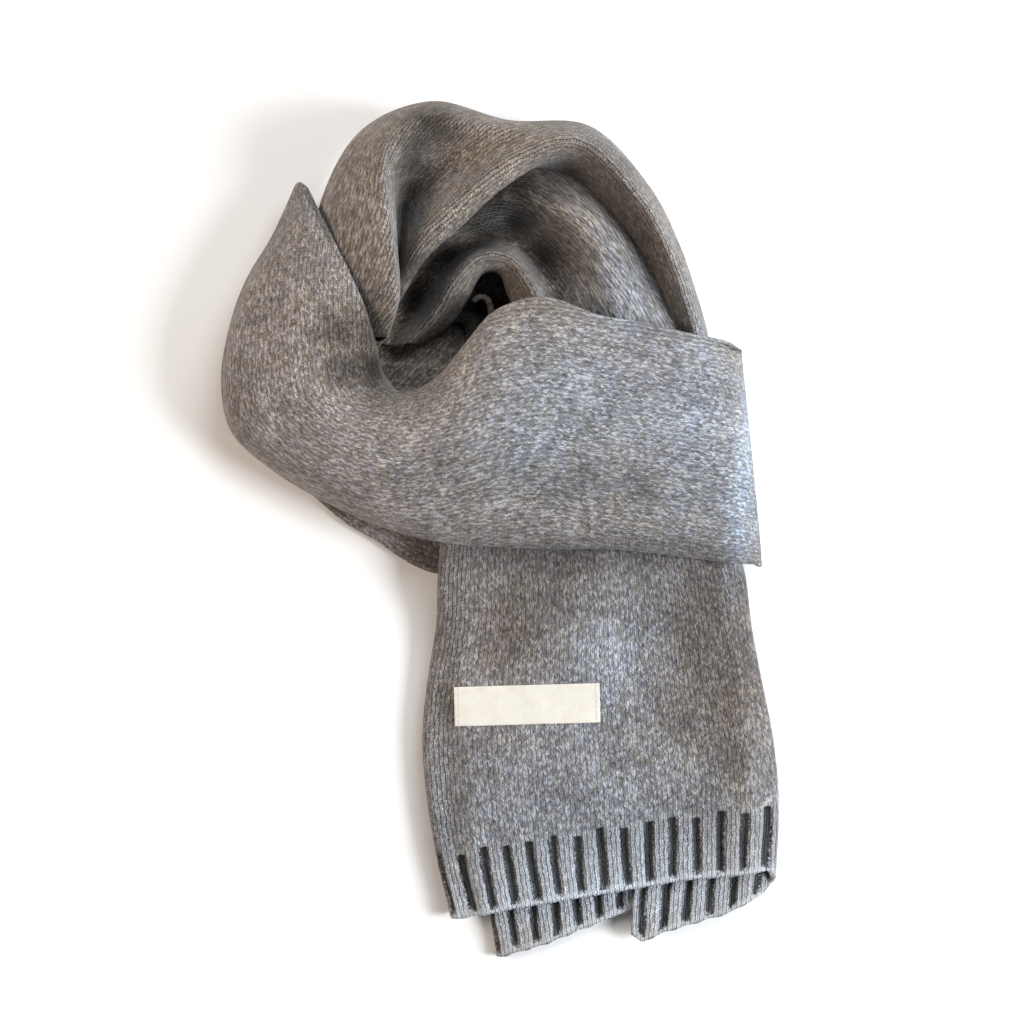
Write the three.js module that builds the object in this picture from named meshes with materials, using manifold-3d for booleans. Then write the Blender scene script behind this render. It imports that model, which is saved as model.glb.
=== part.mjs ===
// A grey knitted wool scarf, laid on a table: one tail comes down the front, the rest is wound
// round a small hollow in a loose double loop, and the last stretch crosses over the tails like a belt.
// Millimetres, +Z up. The scarf lies on z = 0, +Y runs away from the ribbed ends, +X is to the right.
// Every visible stretch is a wall of cloth lofted through sections across the knitting.
import * as THREE from "three";
import Module from "manifold-3d";

const wasm = await Module();
wasm.setup();

// Driving dimensions
const CLOTH = 2.5; // thickness of the knitted cloth
const SEAM = 0.35; // gap kept between neighbouring pieces
const RIB_SEAM = 0.8; // gap between the plain knitting and the ribs, whose facets differ
const RIB_PITCH = 10.9; // one rib and one furrow of the ribbed ends
const RIB_FURROW = 3.8; // width of one furrow
const RIB_DEPTH = 1.5; // depth of a furrow below the plain cloth
const RIB_CROWN = 0.5; // height of a rib above it
const RIB_LENGTH = 31; // height of the ribbed band at each end
const PAD_HEIGHT = 5.4; // two flattened layers of cloth that the loops lie on
const FILL_STEP = 10; // spacing of the points of the heap of hidden layers
const FILL_REACH = 14.2; // how far round each point it looks for the cloth over it
const FILL_GAP = 1.2; // gap between the heap and that cloth
const CAST_OFF = 3.6; // plain edge below the ribs
const LABEL_LENGTH = 70;
const LABEL_WIDTH = 19;
const LABEL_THICKNESS = 0.6;
const MIDDLE = { x: 0.494, y: -3.62 }; // middle of the plan, moved to the origin at the end

const WOOL = { color: 0x8a8784, roughness: 0.95, metalness: 0 };
const LABEL_SATIN = { color: 0xf2ece0, roughness: 0.6, metalness: 0 };

// Loop that goes up the right side, over the top and down the left. Each row is a section across the
// cloth: brow is on the outer side, crest and dip are the large fold and its trough, lip is the long
// fold that borders the hollow. roll is 0 where the lip stands up as a ridge and 1 where it turns under.
const OUTER_LOOP = [
  { brow: [105, 63, 12], crest: [102, 62, 20], dip: [100, 62, 25], lip: [96, 62, 27], roll: 0 },
  { brow: [101, 93, 13], crest: [98, 92, 24], dip: [96, 92, 29], lip: [93, 91, 31], roll: 0 },
  { brow: [94, 116, 17], crest: [92, 113, 30], dip: [90, 112, 38], lip: [86, 110, 42], roll: 0 },
  { brow: [85, 139, 22], crest: [82, 135, 38], dip: [80, 133, 46], lip: [77, 131, 50], roll: 0 },
  { brow: [72, 162, 26], crest: [70, 158, 44], dip: [68, 154, 53], lip: [64, 151, 58], roll: 0 },
  { brow: [43, 191, 30], crest: [40, 185, 50], dip: [38, 181, 60], lip: [35, 176, 64], roll: 0.3 },
  { brow: [4, 193, 34], crest: [3, 183, 58], dip: [2, 175, 58], lip: [3, 166, 63], roll: 1 },
  { brow: [-32, 202, 34], crest: [-32, 186, 65], dip: [-28, 165, 44], lip: [-20, 148, 58], roll: 1 },
  { brow: [-65, 189, 33], crest: [-51, 171, 67], dip: [-44, 153, 34], lip: [-37, 134, 49], roll: 1 },
  { brow: [-84, 157, 30], crest: [-51, 144, 62], dip: [-48, 133, 26], lip: [-47, 118, 36], roll: 1 },
  { brow: [-90, 115, 24], crest: [-48, 110, 51], dip: [-51, 107, 20], lip: [-55, 100, 22], roll: 1 },
  { brow: [-88, 91, 20], crest: [-53, 90, 38], dip: [-58, 89, 18], lip: [-62, 84, 16], roll: 1 },
];

// Loop inside it: edge is the outer edge, hump and dip the fold between, ridge and nose the arch round the hollow.
const INNER_LOOP = [
  { edge: [97, 72, 18], hump: [67, 72, 24], dip: [35, 72, 18], ridge: [25, 72, 22], nose: [17, 73, 14] },
  { edge: [90, 94, 22], hump: [66, 95, 30], dip: [30, 99, 19], ridge: [21, 98, 27], nose: [12, 97, 16] },
  { edge: [74, 122, 29], hump: [50, 127, 40], dip: [22, 122, 18], ridge: [14, 117, 34], nose: [4, 114, 20] },
  { edge: [51, 155, 33], hump: [33, 148, 44], dip: [9, 136, 19], ridge: [4, 128, 38], nose: [0, 123, 26] },
  { edge: [21, 174, 34], hump: [7, 159, 38], dip: [-6, 140, 18], ridge: [-9, 129, 37], nose: [-8, 124, 28] },
  { edge: [-19, 167, 26], hump: [-26, 150, 28], dip: [-26, 128, 15], ridge: [-22, 118, 32], nose: [-16, 112, 22] },
  { edge: [-51, 130, 16], hump: [-49, 118, 15], dip: [-41, 107, 11], ridge: [-32, 103, 24], nose: [-24, 100, 14] },
  { edge: [-64, 97, 10], hump: [-61, 92, 9], dip: [-54, 90, 8], ridge: [-46, 90, 14], nose: [-40, 90, 9] },
];

// Stretch that folds over at the upper left, swings round below the hollow and crosses the tails.
// outer and inner are the plan points of its two sides; the other columns but the last three are heights
// above the table: of the foot, the outer side, the crown, the inner side and the drop below it. roll is
// 1 where the inner side turns under, lap is 1 where the outer side does, and flat is 1 where neither does.
const CROSS_BAND = [
  { outer: [-98, 168], inner: [-93, 166], footZ: 12, outerZ: 17, crownZ: 22, innerZ: 21, drop: 5, roll: 0, lap: 0, flat: 0 },
  { outer: [-110, 143], inner: [-80, 141], footZ: 6, outerZ: 14, crownZ: 40, innerZ: 43, drop: 4, roll: 1, lap: 0, flat: 0 },
  { outer: [-124, 119], inner: [-70, 121], footZ: 6, outerZ: 13, crownZ: 46, innerZ: 48, drop: 5, roll: 1, lap: 0, flat: 0 },
  { outer: [-132, 94], inner: [-62, 103], footZ: 6, outerZ: 13, crownZ: 50, innerZ: 49, drop: 8, roll: 0.9, lap: 0, flat: 0 },
  { outer: [-135, 70], inner: [-58, 87], footZ: 6, outerZ: 13, crownZ: 50, innerZ: 43, drop: 18, roll: 0.5, lap: 0, flat: 0 },
  { outer: [-130, 47], inner: [-56, 74], footZ: 6, outerZ: 13, crownZ: 48, innerZ: 35, drop: 24, roll: 0, lap: 0, flat: 0 },
  { outer: [-112, 30], inner: [-49, 66], footZ: 6, outerZ: 13, crownZ: 45, innerZ: 32, drop: 23, roll: 0, lap: 0, flat: 0 },
  { outer: [-82, 12], inner: [-39, 67], footZ: 6, outerZ: 15, crownZ: 43, innerZ: 32, drop: 23, roll: 0, lap: 0.1, flat: 0 },
  { outer: [-53, 0], inner: [-28, 74], footZ: 9, outerZ: 20, crownZ: 43, innerZ: 34, drop: 22, roll: 0, lap: 0.5, flat: 0 },
  { outer: [-26, -6], inner: [-16, 88], footZ: 25.4, outerZ: 28.5, crownZ: 44, innerZ: 38, drop: 14, roll: 0.3, lap: 1, flat: 0 },
  { outer: [0, -8], inner: [-2, 103], footZ: 25.4, outerZ: 29, crownZ: 45, innerZ: 41, drop: 9, roll: 0.8, lap: 1, flat: 0 },
  { outer: [24, -9], inner: [21, 109], footZ: 25.4, outerZ: 29, crownZ: 44, innerZ: 42, drop: 6, roll: 1, lap: 1, flat: 0 },
  { outer: [48, -9], inner: [46, 101], footZ: 25.4, outerZ: 29, crownZ: 43, innerZ: 41, drop: 5, roll: 1, lap: 1, flat: 0 },
  { outer: [72, -11], inner: [69, 97], footZ: 25.4, outerZ: 29, crownZ: 42, innerZ: 40, drop: 5, roll: 1, lap: 1, flat: 0 },
  { outer: [95, -14], inner: [92, 92], footZ: 25, outerZ: 28, crownZ: 40, innerZ: 39, drop: 5, roll: 1, lap: 1, flat: 0.1 },
  { outer: [115, -17], inner: [108, 90], footZ: 21, outerZ: 23, crownZ: 33, innerZ: 32, drop: 3, roll: 0.6, lap: 0.6, flat: 0.4 },
  { outer: [126, -18], inner: [116, 87], footZ: 14, outerZ: 15, crownZ: 19, innerZ: 18, drop: 0, roll: 0, lap: 0, flat: 1 },
  { outer: [128, -16], inner: [118, 86], footZ: 2, outerZ: 2, crownZ: 2, innerZ: 2, drop: 0, roll: 0, lap: 0, flat: 1 },
];

// Tails, as left and right sides at places along them, and the height of the surface each lies on
const FRONT_TAIL = [
  { y: 60, left: -20, right: 100, lies: 14 },
  { y: 0, left: -28, right: 112, lies: 14 },
  { y: -22, left: -30, right: 118, lies: 14 },
  { y: -45, left: -31, right: 122, lies: 10.4 },
  { y: -70, left: -35, right: 127, lies: 8.4 },
  { y: -100, left: -38, right: 133, lies: 8 },
  { y: -130, left: -36, right: 136, lies: 8 },
  { y: -160, left: -31, right: 135, lies: 8 },
  { y: -190, left: -24, right: 133, lies: 8 },
  { y: -210, left: -20, right: 132, lies: 8 },
];
const BACK_TAIL = [
  { y: 60, left: -10, right: 85, lies: 6.2 },
  { y: 0, left: -16, right: 98, lies: 6.2 },
  { y: -24, left: -18, right: 104, lies: 6.2 },
  { y: -48, left: -19, right: 110, lies: 1.4 },
  { y: -70, left: -19, right: 114, lies: 0 },
  { y: -110, left: -17, right: 118, lies: 0 },
  { y: -150, left: -12, right: 120, lies: 0 },
  { y: -190, left: -5, right: 120, lies: 0 },
  { y: -215, left: -1, right: 120, lies: 0 },
];
const FRONT_FOLD = 5; // half the height of the folded front tail
const BACK_FOLD = 3.5;
const FRONT_TURN_UNDER = { left: 12, right: 64 }; // width folded under at each side
const BACK_TURN_UNDER = { left: 60, right: 8 };

// Hem lines, as x and y from left to right
const FRONT_HEM = [[-27, -190], [5, -183], [48, -176], [89, -169], [135, -165]];
const FRONT_UNDER_HEM = [[131, -176], [111, -187], [81, -196], [70, -201], [65, -197]];
const BACK_HEM = [[-6, -210], [20, -203], [54, -190], [120, -166]];

// Soft folds that run over the cloth: middle, direction of the fold, its length, width and height
const TAIL_FOLDS = [
  { x: 22, y: -50, turn: -52, length: 60, width: 16, height: 1.8 },
  { x: 78, y: -92, turn: -48, length: 46, width: 15, height: -1.6 },
  { x: 45, y: -120, turn: -60, length: 40, width: 13, height: 1.4 },
  { x: 112, y: -110, turn: -78, length: 60, width: 12, height: -1.2 },
  { x: -14, y: -130, turn: 86, length: 60, width: 10, height: 1 },
];
const BAND_FOLDS = [
  { x: 10, y: 40, turn: 24, length: 70, width: 20, height: 3 },
  { x: 60, y: 20, turn: 35, length: 60, width: 16, height: -2.6 },
  { x: 98, y: 48, turn: 74, length: 50, width: 12, height: 1.6 },
  { x: -62, y: 34, turn: -34, length: 50, width: 14, height: 1.6 },
  { x: -92, y: 96, turn: 66, length: 46, width: 14, height: 1.8 },
];

// Small helpers
const point = (p) => new THREE.Vector3(p[0], p[1], p[2]);
const mix = (a, b, t) => a + (b - a) * t;
const smooth = (t) => {
  const c = Math.min(1, Math.max(0, t));
  return c * c * (3 - 2 * c);
};

// Value of a column at place y, in a table whose rows go down in y
function along(table, column, y) {
  const last = table.length - 1;
  const at = table.findIndex((row) => row.y <= y);
  if (at === 0) return table[0][column];
  if (at < 0) return table[last][column];
  const spline = new THREE.CatmullRomCurve3(table.map((row) => new THREE.Vector3(row[column], row.y, 0)));
  const share = (table[at - 1].y - y) / (table[at - 1].y - table[at].y);
  return spline.getPoint((at - 1 + share) / last).x;
}

// Height of a line of [x, y] points at place x, straight between them
function lineAt(line, x) {
  const rising = line[0][0] < line[line.length - 1][0] ? line : [...line].reverse();
  const at = rising.findIndex((p) => p[0] >= x);
  if (at === 0) return rising[0][1];
  if (at < 0) return rising[rising.length - 1][1];
  const [a, b] = [rising[at - 1], rising[at]];
  return mix(a[1], b[1], (x - a[0]) / (b[0] - a[0]));
}

// Sum of the soft folds at a plan point
function relief(folds, x, y) {
  return folds.reduce((sum, fold) => {
    const turn = THREE.MathUtils.degToRad(fold.turn);
    const [dx, dy] = [x - fold.x, y - fold.y];
    const run = (dx * Math.cos(turn) + dy * Math.sin(turn)) / (fold.length / 2);
    const off = (dy * Math.cos(turn) - dx * Math.sin(turn)) / (fold.width / 2);
    return sum + fold.height * Math.exp(-run * run - off * off);
  }, 0);
}

// Grid lofted through sections: each section becomes a curve, and curves run from section to section
// through the same place on each, so that a fold keeps its own column of points
function loft(sections, alongCount, acrossCount) {
  const cuts = sections.map((points) => new THREE.CatmullRomCurve3(points).getPoints(acrossCount));
  const rails = cuts[0].map((_, j) => new THREE.CatmullRomCurve3(cuts.map((cut) => cut[j])));
  return Array.from({ length: alongCount + 1 }, (_, i) => rails.map((rail) => rail.getPoint(i / alongCount)));
}

// Direction of a line of points at its middle one, true to a circle through the three
function tangent(before, at, after) {
  const parts = [at.clone().sub(before), after.clone().sub(at)].filter((step) => step.lengthSq() > 1e-9);
  return parts.reduce((sum, step) => sum.addScaledVector(step, 1 / step.lengthSq()), new THREE.Vector3());
}

// Unit normals of a grid on its outer side
function normalsOf(grid) {
  const [rows, columns] = [grid.length, grid[0].length];
  return grid.map((row, i) =>
    row.map((p, j) => {
      const down = tangent(grid[Math.max(i - 1, 0)][j], p, grid[Math.min(i + 1, rows - 1)][j]);
      const over = tangent(row[Math.max(j - 1, 0)], p, row[Math.min(j + 1, columns - 1)]);
      return down.cross(over).normalize();
    }),
  );
}

// Closed solid between two grids of points, of which the first is on the outside
function between(outer, inner) {
  const [rows, columns] = [outer.length, outer[0].length];
  const positions = [...outer.flat(), ...inner.flat()].flatMap((p) => p.toArray());
  const at = (layer, i, j) => layer * rows * columns + i * columns + j;
  const faces = [];
  const quad = (a, b, c, d) => faces.push(a, b, c, a, c, d);
  for (let i = 0; i < rows - 1; i += 1) {
    for (let j = 0; j < columns - 1; j += 1) {
      quad(at(0, i, j), at(0, i + 1, j), at(0, i + 1, j + 1), at(0, i, j + 1));
      quad(at(1, i, j), at(1, i, j + 1), at(1, i + 1, j + 1), at(1, i + 1, j));
    }
    quad(at(0, i, 0), at(1, i, 0), at(1, i + 1, 0), at(0, i + 1, 0));
    quad(at(0, i, columns - 1), at(0, i + 1, columns - 1), at(1, i + 1, columns - 1), at(1, i, columns - 1));
  }
  for (let j = 0; j < columns - 1; j += 1) {
    quad(at(0, 0, j), at(0, 0, j + 1), at(1, 0, j + 1), at(1, 0, j));
    quad(at(0, rows - 1, j), at(1, rows - 1, j), at(1, rows - 1, j + 1), at(0, rows - 1, j + 1));
  }
  return new wasm.Manifold(
    new wasm.Mesh({
      numProp: 3,
      vertProperties: new Float32Array(positions),
      triVerts: new Uint32Array(faces),
    }),
  );
}

// Grid moved along its normals by distance(i, j)
function moved(grid, distance) {
  const normals = normalsOf(grid);
  return grid.map((row, i) => row.map((p, j) => p.clone().addScaledVector(normals[i][j], distance(i, j))));
}

// Closed wall whose outer side is the grid, raised by lift(i, j), and whose inner side is one thickness below
function wall(grid, { thickness = CLOTH, lift = () => 0, liftInside = () => 0, grow = 0 } = {}) {
  return between(
    moved(grid, (i, j) => lift(i, j) + grow),
    moved(grid, (i, j) => -(thickness + grow + liftInside(i, j))),
  );
}

// Sections of the outer loop: foot on the table, brow, crest, dip, lip, then the side that turns down inside
function outerLoopSections() {
  return OUTER_LOOP.map((row) => {
    const [brow, crest, dip, lip] = [row.brow, row.crest, row.dip, row.lip].map(point);
    const out = brow.clone().sub(lip).setZ(0).normalize();
    const inward = lip.clone().sub(dip).setZ(0).normalize();
    const foot = brow.clone().addScaledVector(out, -2).setZ(6);
    const nose = lip.clone().addScaledVector(inward, mix(4, 8, row.roll));
    nose.z -= 7;
    const tuck = lip.clone().addScaledVector(inward, mix(14, 1, row.roll));
    tuck.z = Math.max(lip.z - mix(36, 15, row.roll), 9);
    return [foot, brow, crest, dip, lip, nose, tuck];
  });
}

// Sections of the inner loop: its outer edge turns down, and the arch's inner side stands on the layers below
function innerLoopSections() {
  return INNER_LOOP.map((row) => {
    const [edge, hump, dip, ridge, nose] = [row.edge, row.hump, row.dip, row.ridge, row.nose].map(point);
    const tuck = nose.clone();
    tuck.z = Math.min(6.5, nose.z - 2);
    return [edge, hump, dip, ridge, nose, tuck];
  });
}

// Sections of the crossing band, from its outer side over the crown to its inner side
function crossBandSections() {
  return CROSS_BAND.map((row) => {
    const [outer, inner] = [row.outer, row.inner].map(([x, y]) => new THREE.Vector3(x, y, 0));
    const width = outer.distanceTo(inner);
    const at = (distance, z) => outer.clone().lerp(inner, distance / width).setZ(z);
    const bend = Math.min(9, width / 4);
    return [
      at(mix(mix(2, bend, row.lap), 0, row.flat), row.footZ),
      at(mix(0, 2, row.flat), row.outerZ),
      at(bend, mix(row.outerZ, row.crownZ, 0.62)),
      at(width * 0.5, row.crownZ),
      at(width - bend, mix(mix(row.crownZ, row.innerZ, 0.75) + 1.5, row.innerZ, row.flat)),
      at(width - mix(0, 2, row.flat), row.innerZ - mix(1.5, 0, row.flat)),
      at(width - mix(0, bend * 0.8, row.roll), row.innerZ - row.drop),
    ];
  });
}

// Band with its soft folds, above where it meets the table
function liftedBand(grid) {
  return grid.map((row) => row.map((p) => p.clone().setZ(p.z + (p.z > 8 ? relief(BAND_FOLDS, p.x, p.y) : 0))));
}

// Places across a tail's folded section: turned under at the left, left fold, top, right fold, turned under at the right
function tailStations(turnUnder, counts) {
  const parts = ["underLeft", "leftFold", "top", "rightFold", "underRight"];
  const stations = parts.flatMap((part) =>
    Array.from({ length: counts[part] }, (_, k) => ({ part, t: k / counts[part] })),
  );
  return [...stations, { part: "underRight", t: 1 }].map((s) => ({ ...s, turnUnder }));
}

// Point of a tail's outer side at a station and a place along it
function tailPoint(tail, fold, station, y) {
  const [left, right] = ["left", "right"].map((column) => along(tail, column, y));
  const lies = Math.max(0, along(tail, "lies", y));
  const { part, t, turnUnder } = station;
  if (part === "underLeft") return new THREE.Vector3(left + fold + turnUnder.left * (1 - t), y, lies);
  if (part === "underRight") return new THREE.Vector3(right - fold - turnUnder.right * t, y, lies);
  if (part === "top") return new THREE.Vector3(mix(left + fold, right - fold, t), y, lies + 2 * fold);
  const turn = Math.PI * (part === "leftFold" ? t : 1 - t);
  const centre = part === "leftFold" ? left + fold : right - fold;
  const out = part === "leftFold" ? -1 : 1;
  return new THREE.Vector3(centre + out * fold * Math.sin(turn), y, lies + fold * (1 - Math.cos(turn)));
}

// Grid of a tail: a row of points for each place along it, where place(station) is its y
function tailGrid(tail, fold, stations, places, settle) {
  return places.map((place) => stations.map((s) => settle(tailPoint(tail, fold, s, place(s)), s)));
}

// Lowest place of the front tail at a station: its upper layer, the right fold and the layer turned under
function frontTailEnd(station) {
  const probe = tailPoint(FRONT_TAIL, FRONT_FOLD, station, -180);
  if (station.part === "underRight") return lineAt(FRONT_UNDER_HEM, probe.x);
  if (station.part !== "rightFold") return lineAt(FRONT_HEM, probe.x);
  const foldX = tailPoint(FRONT_TAIL, FRONT_FOLD, { ...station, t: 0 }, -180).x;
  return mix(lineAt(FRONT_HEM, foldX), lineAt(FRONT_UNDER_HEM, foldX), station.t);
}

const backTailEnd = (station) => lineAt(BACK_HEM, tailPoint(BACK_TAIL, BACK_FOLD, station, -190).x);

// The front tail sags to the table beyond the sides of the tail below it, and its top has soft folds
function settleFront(p, station) {
  const backLeft = along(BACK_TAIL, "left", p.y);
  const backRight = along(BACK_TAIL, "right", p.y);
  const overhang = Math.max(smooth((backLeft + 2 - p.x) / 16), smooth((p.x - backRight + 2) / 16));
  const free = smooth((-16 - p.y) / 40);
  const sag = 5.6 * overhang * free;
  const folds = station.part === "top" ? relief(TAIL_FOLDS, p.x, p.y) * Math.sin(Math.PI * station.t) ** 0.5 : 0;
  return p.setZ(p.z - sag + folds);
}

const stay = (p) => p;

// Evenly spaced places from start(station) to end(station)
function placesBetween(start, end, count) {
  return Array.from({ length: count + 1 }, (_, i) => (s) => mix(start(s), end(s), i / count));
}

// Section of one furrow and one rib: height above the plain cloth at distances across them
const RIB_SECTION = [
  { at: 0, height: 0 },
  { at: 0.5, height: -RIB_DEPTH },
  { at: RIB_FURROW - 0.5, height: -RIB_DEPTH },
  { at: RIB_FURROW, height: 0 },
  { at: (RIB_FURROW + RIB_PITCH) / 2, height: RIB_CROWN },
  { at: RIB_PITCH, height: 0 },
];

function ribHeight(distance) {
  const place = distance % RIB_PITCH;
  const next = Math.max(1, RIB_SECTION.findIndex((corner) => corner.at >= place));
  const [a, b] = [RIB_SECTION[next - 1], RIB_SECTION[next]];
  return mix(a.height, b.height, (place - a.at) / (b.at - a.at));
}

// Stations across a ribbed end, one at each corner of the ribs' section and one where each part begins.
// A plain part has one station for each rib, and ribs on a fold don't rise above it.
function ribStations(tail, fold, turnUnder, y, plainPart) {
  const parts = [
    { part: "underLeft", length: turnUnder.left },
    { part: "leftFold", length: Math.PI * fold },
    { part: "top", length: along(tail, "right", y) - along(tail, "left", y) - 2 * fold },
    { part: "rightFold", length: Math.PI * fold },
    { part: "underRight", length: turnUnder.right },
  ];
  let start = 0;
  return parts.flatMap(({ part, length }, k) => {
    const plain = part === plainPart;
    const corners = RIB_SECTION.slice(1).filter((corner) => !plain || corner.at === RIB_PITCH);
    const distances = [start];
    for (let rib = Math.floor(start / RIB_PITCH) * RIB_PITCH; rib < start + length; rib += RIB_PITCH) {
      distances.push(...corners.map((corner) => rib + corner.at));
    }
    const kept = distances.filter((d) => d === start || (d > start + 0.2 && d < start + length - 0.2));
    if (k === parts.length - 1) kept.push(start + length);
    const stations = kept.map((d) => {
      const height = Math.min(ribHeight(d), part.endsWith("Fold") ? 0 : RIB_CROWN);
      return { part, t: (d - start) / length, turnUnder, height: plain ? 0 : height };
    });
    start += length;
    return stations;
  });
}

// Ribbed end of a tail: furrows sink between the ribs from just below the plain knitting to the cast-off edge.
// On the part that is turned under and looks up, the furrows are in its upper side.
function ribbedEnd(tail, fold, turnUnder, end, settle, plainPart) {
  const stations = ribStations(tail, fold, turnUnder, -180, plainPart);
  const steps = [
    { up: RIB_LENGTH, share: 0 },
    { up: RIB_LENGTH - 2, share: 1 },
    { up: CAST_OFF + 1.5, share: 1 },
    { up: CAST_OFF, share: 0 },
    { up: 0, share: 0 },
  ];
  const places = steps.map((step) => (s) => end(s) + step.up);
  const grid = tailGrid(tail, fold, stations, places, settle);
  const height = (i, j) => steps[i].share * stations[j].height;
  const looksUp = (j) => stations[j].part === "underRight";
  return wall(grid, {
    lift: (i, j) => (looksUp(j) ? 0 : height(i, j)),
    liftInside: (i, j) => (looksUp(j) ? height(i, j) : 0),
  });
}

// Layered pad: rings of an outline at several heights, each set in by its own amount, capped flat
function pad(outline, layers) {
  const curve = new THREE.SplineCurve([...outline, outline[0]].map(([x, y]) => new THREE.Vector2(x, y)));
  const ring = curve.getPoints(outline.length * 2).slice(0, -1);
  const inset = (by) =>
    ring.map((p, k) => {
      const before = ring[(k + ring.length - 1) % ring.length];
      const after = ring[(k + 1) % ring.length];
      const run = after.clone().sub(before).normalize();
      return new THREE.Vector2(p.x - run.y * by, p.y + run.x * by);
    });
  const levels = layers.map((layer) => inset(layer.inset).map((p) => [p.x, p.y, layer.z]));
  const faces = [];
  const count = ring.length;
  levels.slice(0, -1).forEach((_, i) => {
    for (let k = 0; k < count; k += 1) {
      const [a, b] = [i * count + k, i * count + ((k + 1) % count)];
      faces.push(a, b, b + count, a, b + count, a + count);
    }
  });
  const cap = (level, flip) => {
    const flat = levels[level].map(([x, y]) => new THREE.Vector2(x, y));
    THREE.ShapeUtils.triangulateShape(flat, []).forEach(([a, b, c]) => {
      const base = level * count;
      faces.push(base + a, base + (flip ? c : b), base + (flip ? b : c));
    });
  };
  cap(0, true);
  cap(levels.length - 1, false);
  return new wasm.Manifold(
    new wasm.Mesh({
      numProp: 3,
      vertProperties: new Float32Array(levels.flat(2)),
      triVerts: new Uint32Array(faces),
    }),
  );
}

// Under side of the loops and of the crossing band: the hidden layers as one pad, anticlockwise in plan,
// with the groove between two layers of cloth round its rim
const UNDER_SIDE = [
  [-107, 32], [-86, 11], [-61, -6], [-34, -21], [10, -16], [60, -14], [104, -14],
  [121, -13], [119, 30], [113, 80], [98, 92], [90, 116], [81, 138], [68, 160], [41, 187],
  [4, 189], [-32, 198], [-62, 186], [-83, 156], [-97, 155], [-112, 134], [-125, 106],
  [-130, 70], [-125, 48],
];
const UNDER_LAYERS = [
  { z: 0, inset: 1.4 },
  { z: 1.2, inset: 0.2 },
  { z: 2.5, inset: 1.6 },
  { z: 3.9, inset: 0.4 },
  { z: PAD_HEIGHT, inset: 2.2 },
];

// Small hollow in the middle of the loops, with the lowest layer of cloth as its floor
const HOLLOW = [[-62, 84], [-50, 81.5], [-34, 81], [-22, 83], [-17, 92], [-19, 101], [-32, 99], [-48, 94], [-60, 91]];

// Height of the folded cloth inside the heap at a plan point: just under the lowest cloth near it
function fillHeight(cover, x, y) {
  const near = cover.filter((p) => Math.hypot(p.x - x, p.y - y) < FILL_REACH).map((p) => p.z);
  return near.length ? Math.max(Math.min(...near) - FILL_GAP, PAD_HEIGHT - 1) : PAD_HEIGHT - 1;
}

// Hidden layers: the pad, and on it the rounded heap of folded cloth that fills the loops and the band
function hiddenLayers(sheets) {
  const cover = sheets.flatMap((grid) => [...grid, ...moved(grid, () => -CLOTH)]).flat();
  const lines = (from, count) => Array.from({ length: count + 1 }, (_, k) => from + k * FILL_STEP);
  const top = lines(-20, 22).reverse().map((y) =>
    lines(-130, 25).map((x) => new THREE.Vector3(x, y, fillHeight(cover, x, y))),
  );
  const heap = between(top, top.map((row) => row.map((p) => p.clone().setZ(PAD_HEIGHT / 2))));
  const inside = pad(UNDER_SIDE, [{ z: 0, inset: 3 }, { z: 80, inset: 3 }]);
  const hollow = pad(HOLLOW, [{ z: CLOTH, inset: 0 }, { z: 80, inset: 0 }]);
  return cleared(pad(UNDER_SIDE, UNDER_LAYERS).add(heap.intersect(inside)), [hollow, tailRoom()]);
}

// Space of both tails where they lie under the crossing band
function tailRoom() {
  const top = [44, 20, -4, -28].map((y) => {
    const [left, right] = [along(FRONT_TAIL, "left", y) - SEAM, along(FRONT_TAIL, "right", y) + SEAM];
    const z = along(FRONT_TAIL, "lies", y) + 2 * FRONT_FOLD + 2 * SEAM;
    return [0, 0.5, 1].map((t) => new THREE.Vector3(mix(left, right, t), y, z));
  });
  return between(top, top.map((row) => row.map((p) => p.clone().setZ(PAD_HEIGHT + SEAM))));
}

// Small curl of an under layer in the middle of the hollow
const CURL = [[-15, 112], [-11, 114.5], [-6.5, 113.5], [-4, 109], [-3.5, 103]];

function centreCurl() {
  const line = new THREE.CatmullRomCurve3(CURL.map(([x, y]) => new THREE.Vector3(x, y, 0))).getSpacedPoints(10);
  const heights = [6, 11, 15, 17];
  const leans = [0, 0, 1, 3];
  const grid = heights.map((z, k) => line.map((p) => new THREE.Vector3(p.x + leans[k] * 0.3, p.y - leans[k] * 0.3, z)));
  return wall(grid, { thickness: 2.6 });
}

// Label sewn on the front tail: points of the tail's top, moved out
function label() {
  const turn = THREE.MathUtils.degToRad(1.6);
  const [middleX, middleY] = [13, -84];
  const [columns, rows] = [12, 3];
  const grid = Array.from({ length: rows + 1 }, (_, i) =>
    Array.from({ length: columns + 1 }, (__, j) => {
      const a = LABEL_LENGTH * (j / columns - 0.5);
      const b = LABEL_WIDTH * (0.5 - i / rows);
      const x = middleX + a * Math.cos(turn) - b * Math.sin(turn);
      const y = middleY + a * Math.sin(turn) + b * Math.cos(turn);
      const left = along(FRONT_TAIL, "left", y) + FRONT_FOLD;
      const right = along(FRONT_TAIL, "right", y) - FRONT_FOLD;
      const top = tailPoint(FRONT_TAIL, FRONT_FOLD, { part: "top", t: (x - left) / (right - left) }, y);
      const settled = settleFront(top, { part: "top", t: (x - left) / (right - left) });
      return new THREE.Vector3(x, y, settled.z + SEAM + 0.25 + LABEL_THICKNESS);
    }),
  );
  return wall(grid, { thickness: LABEL_THICKNESS });
}

// Largest piece of what is left of a solid when its neighbours are taken away
function cleared(solid, neighbours) {
  const left = neighbours.reduce((rest, other) => rest.subtract(other), solid);
  return left.decompose().sort((a, b) => b.volume() - a.volume())[0];
}

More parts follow.
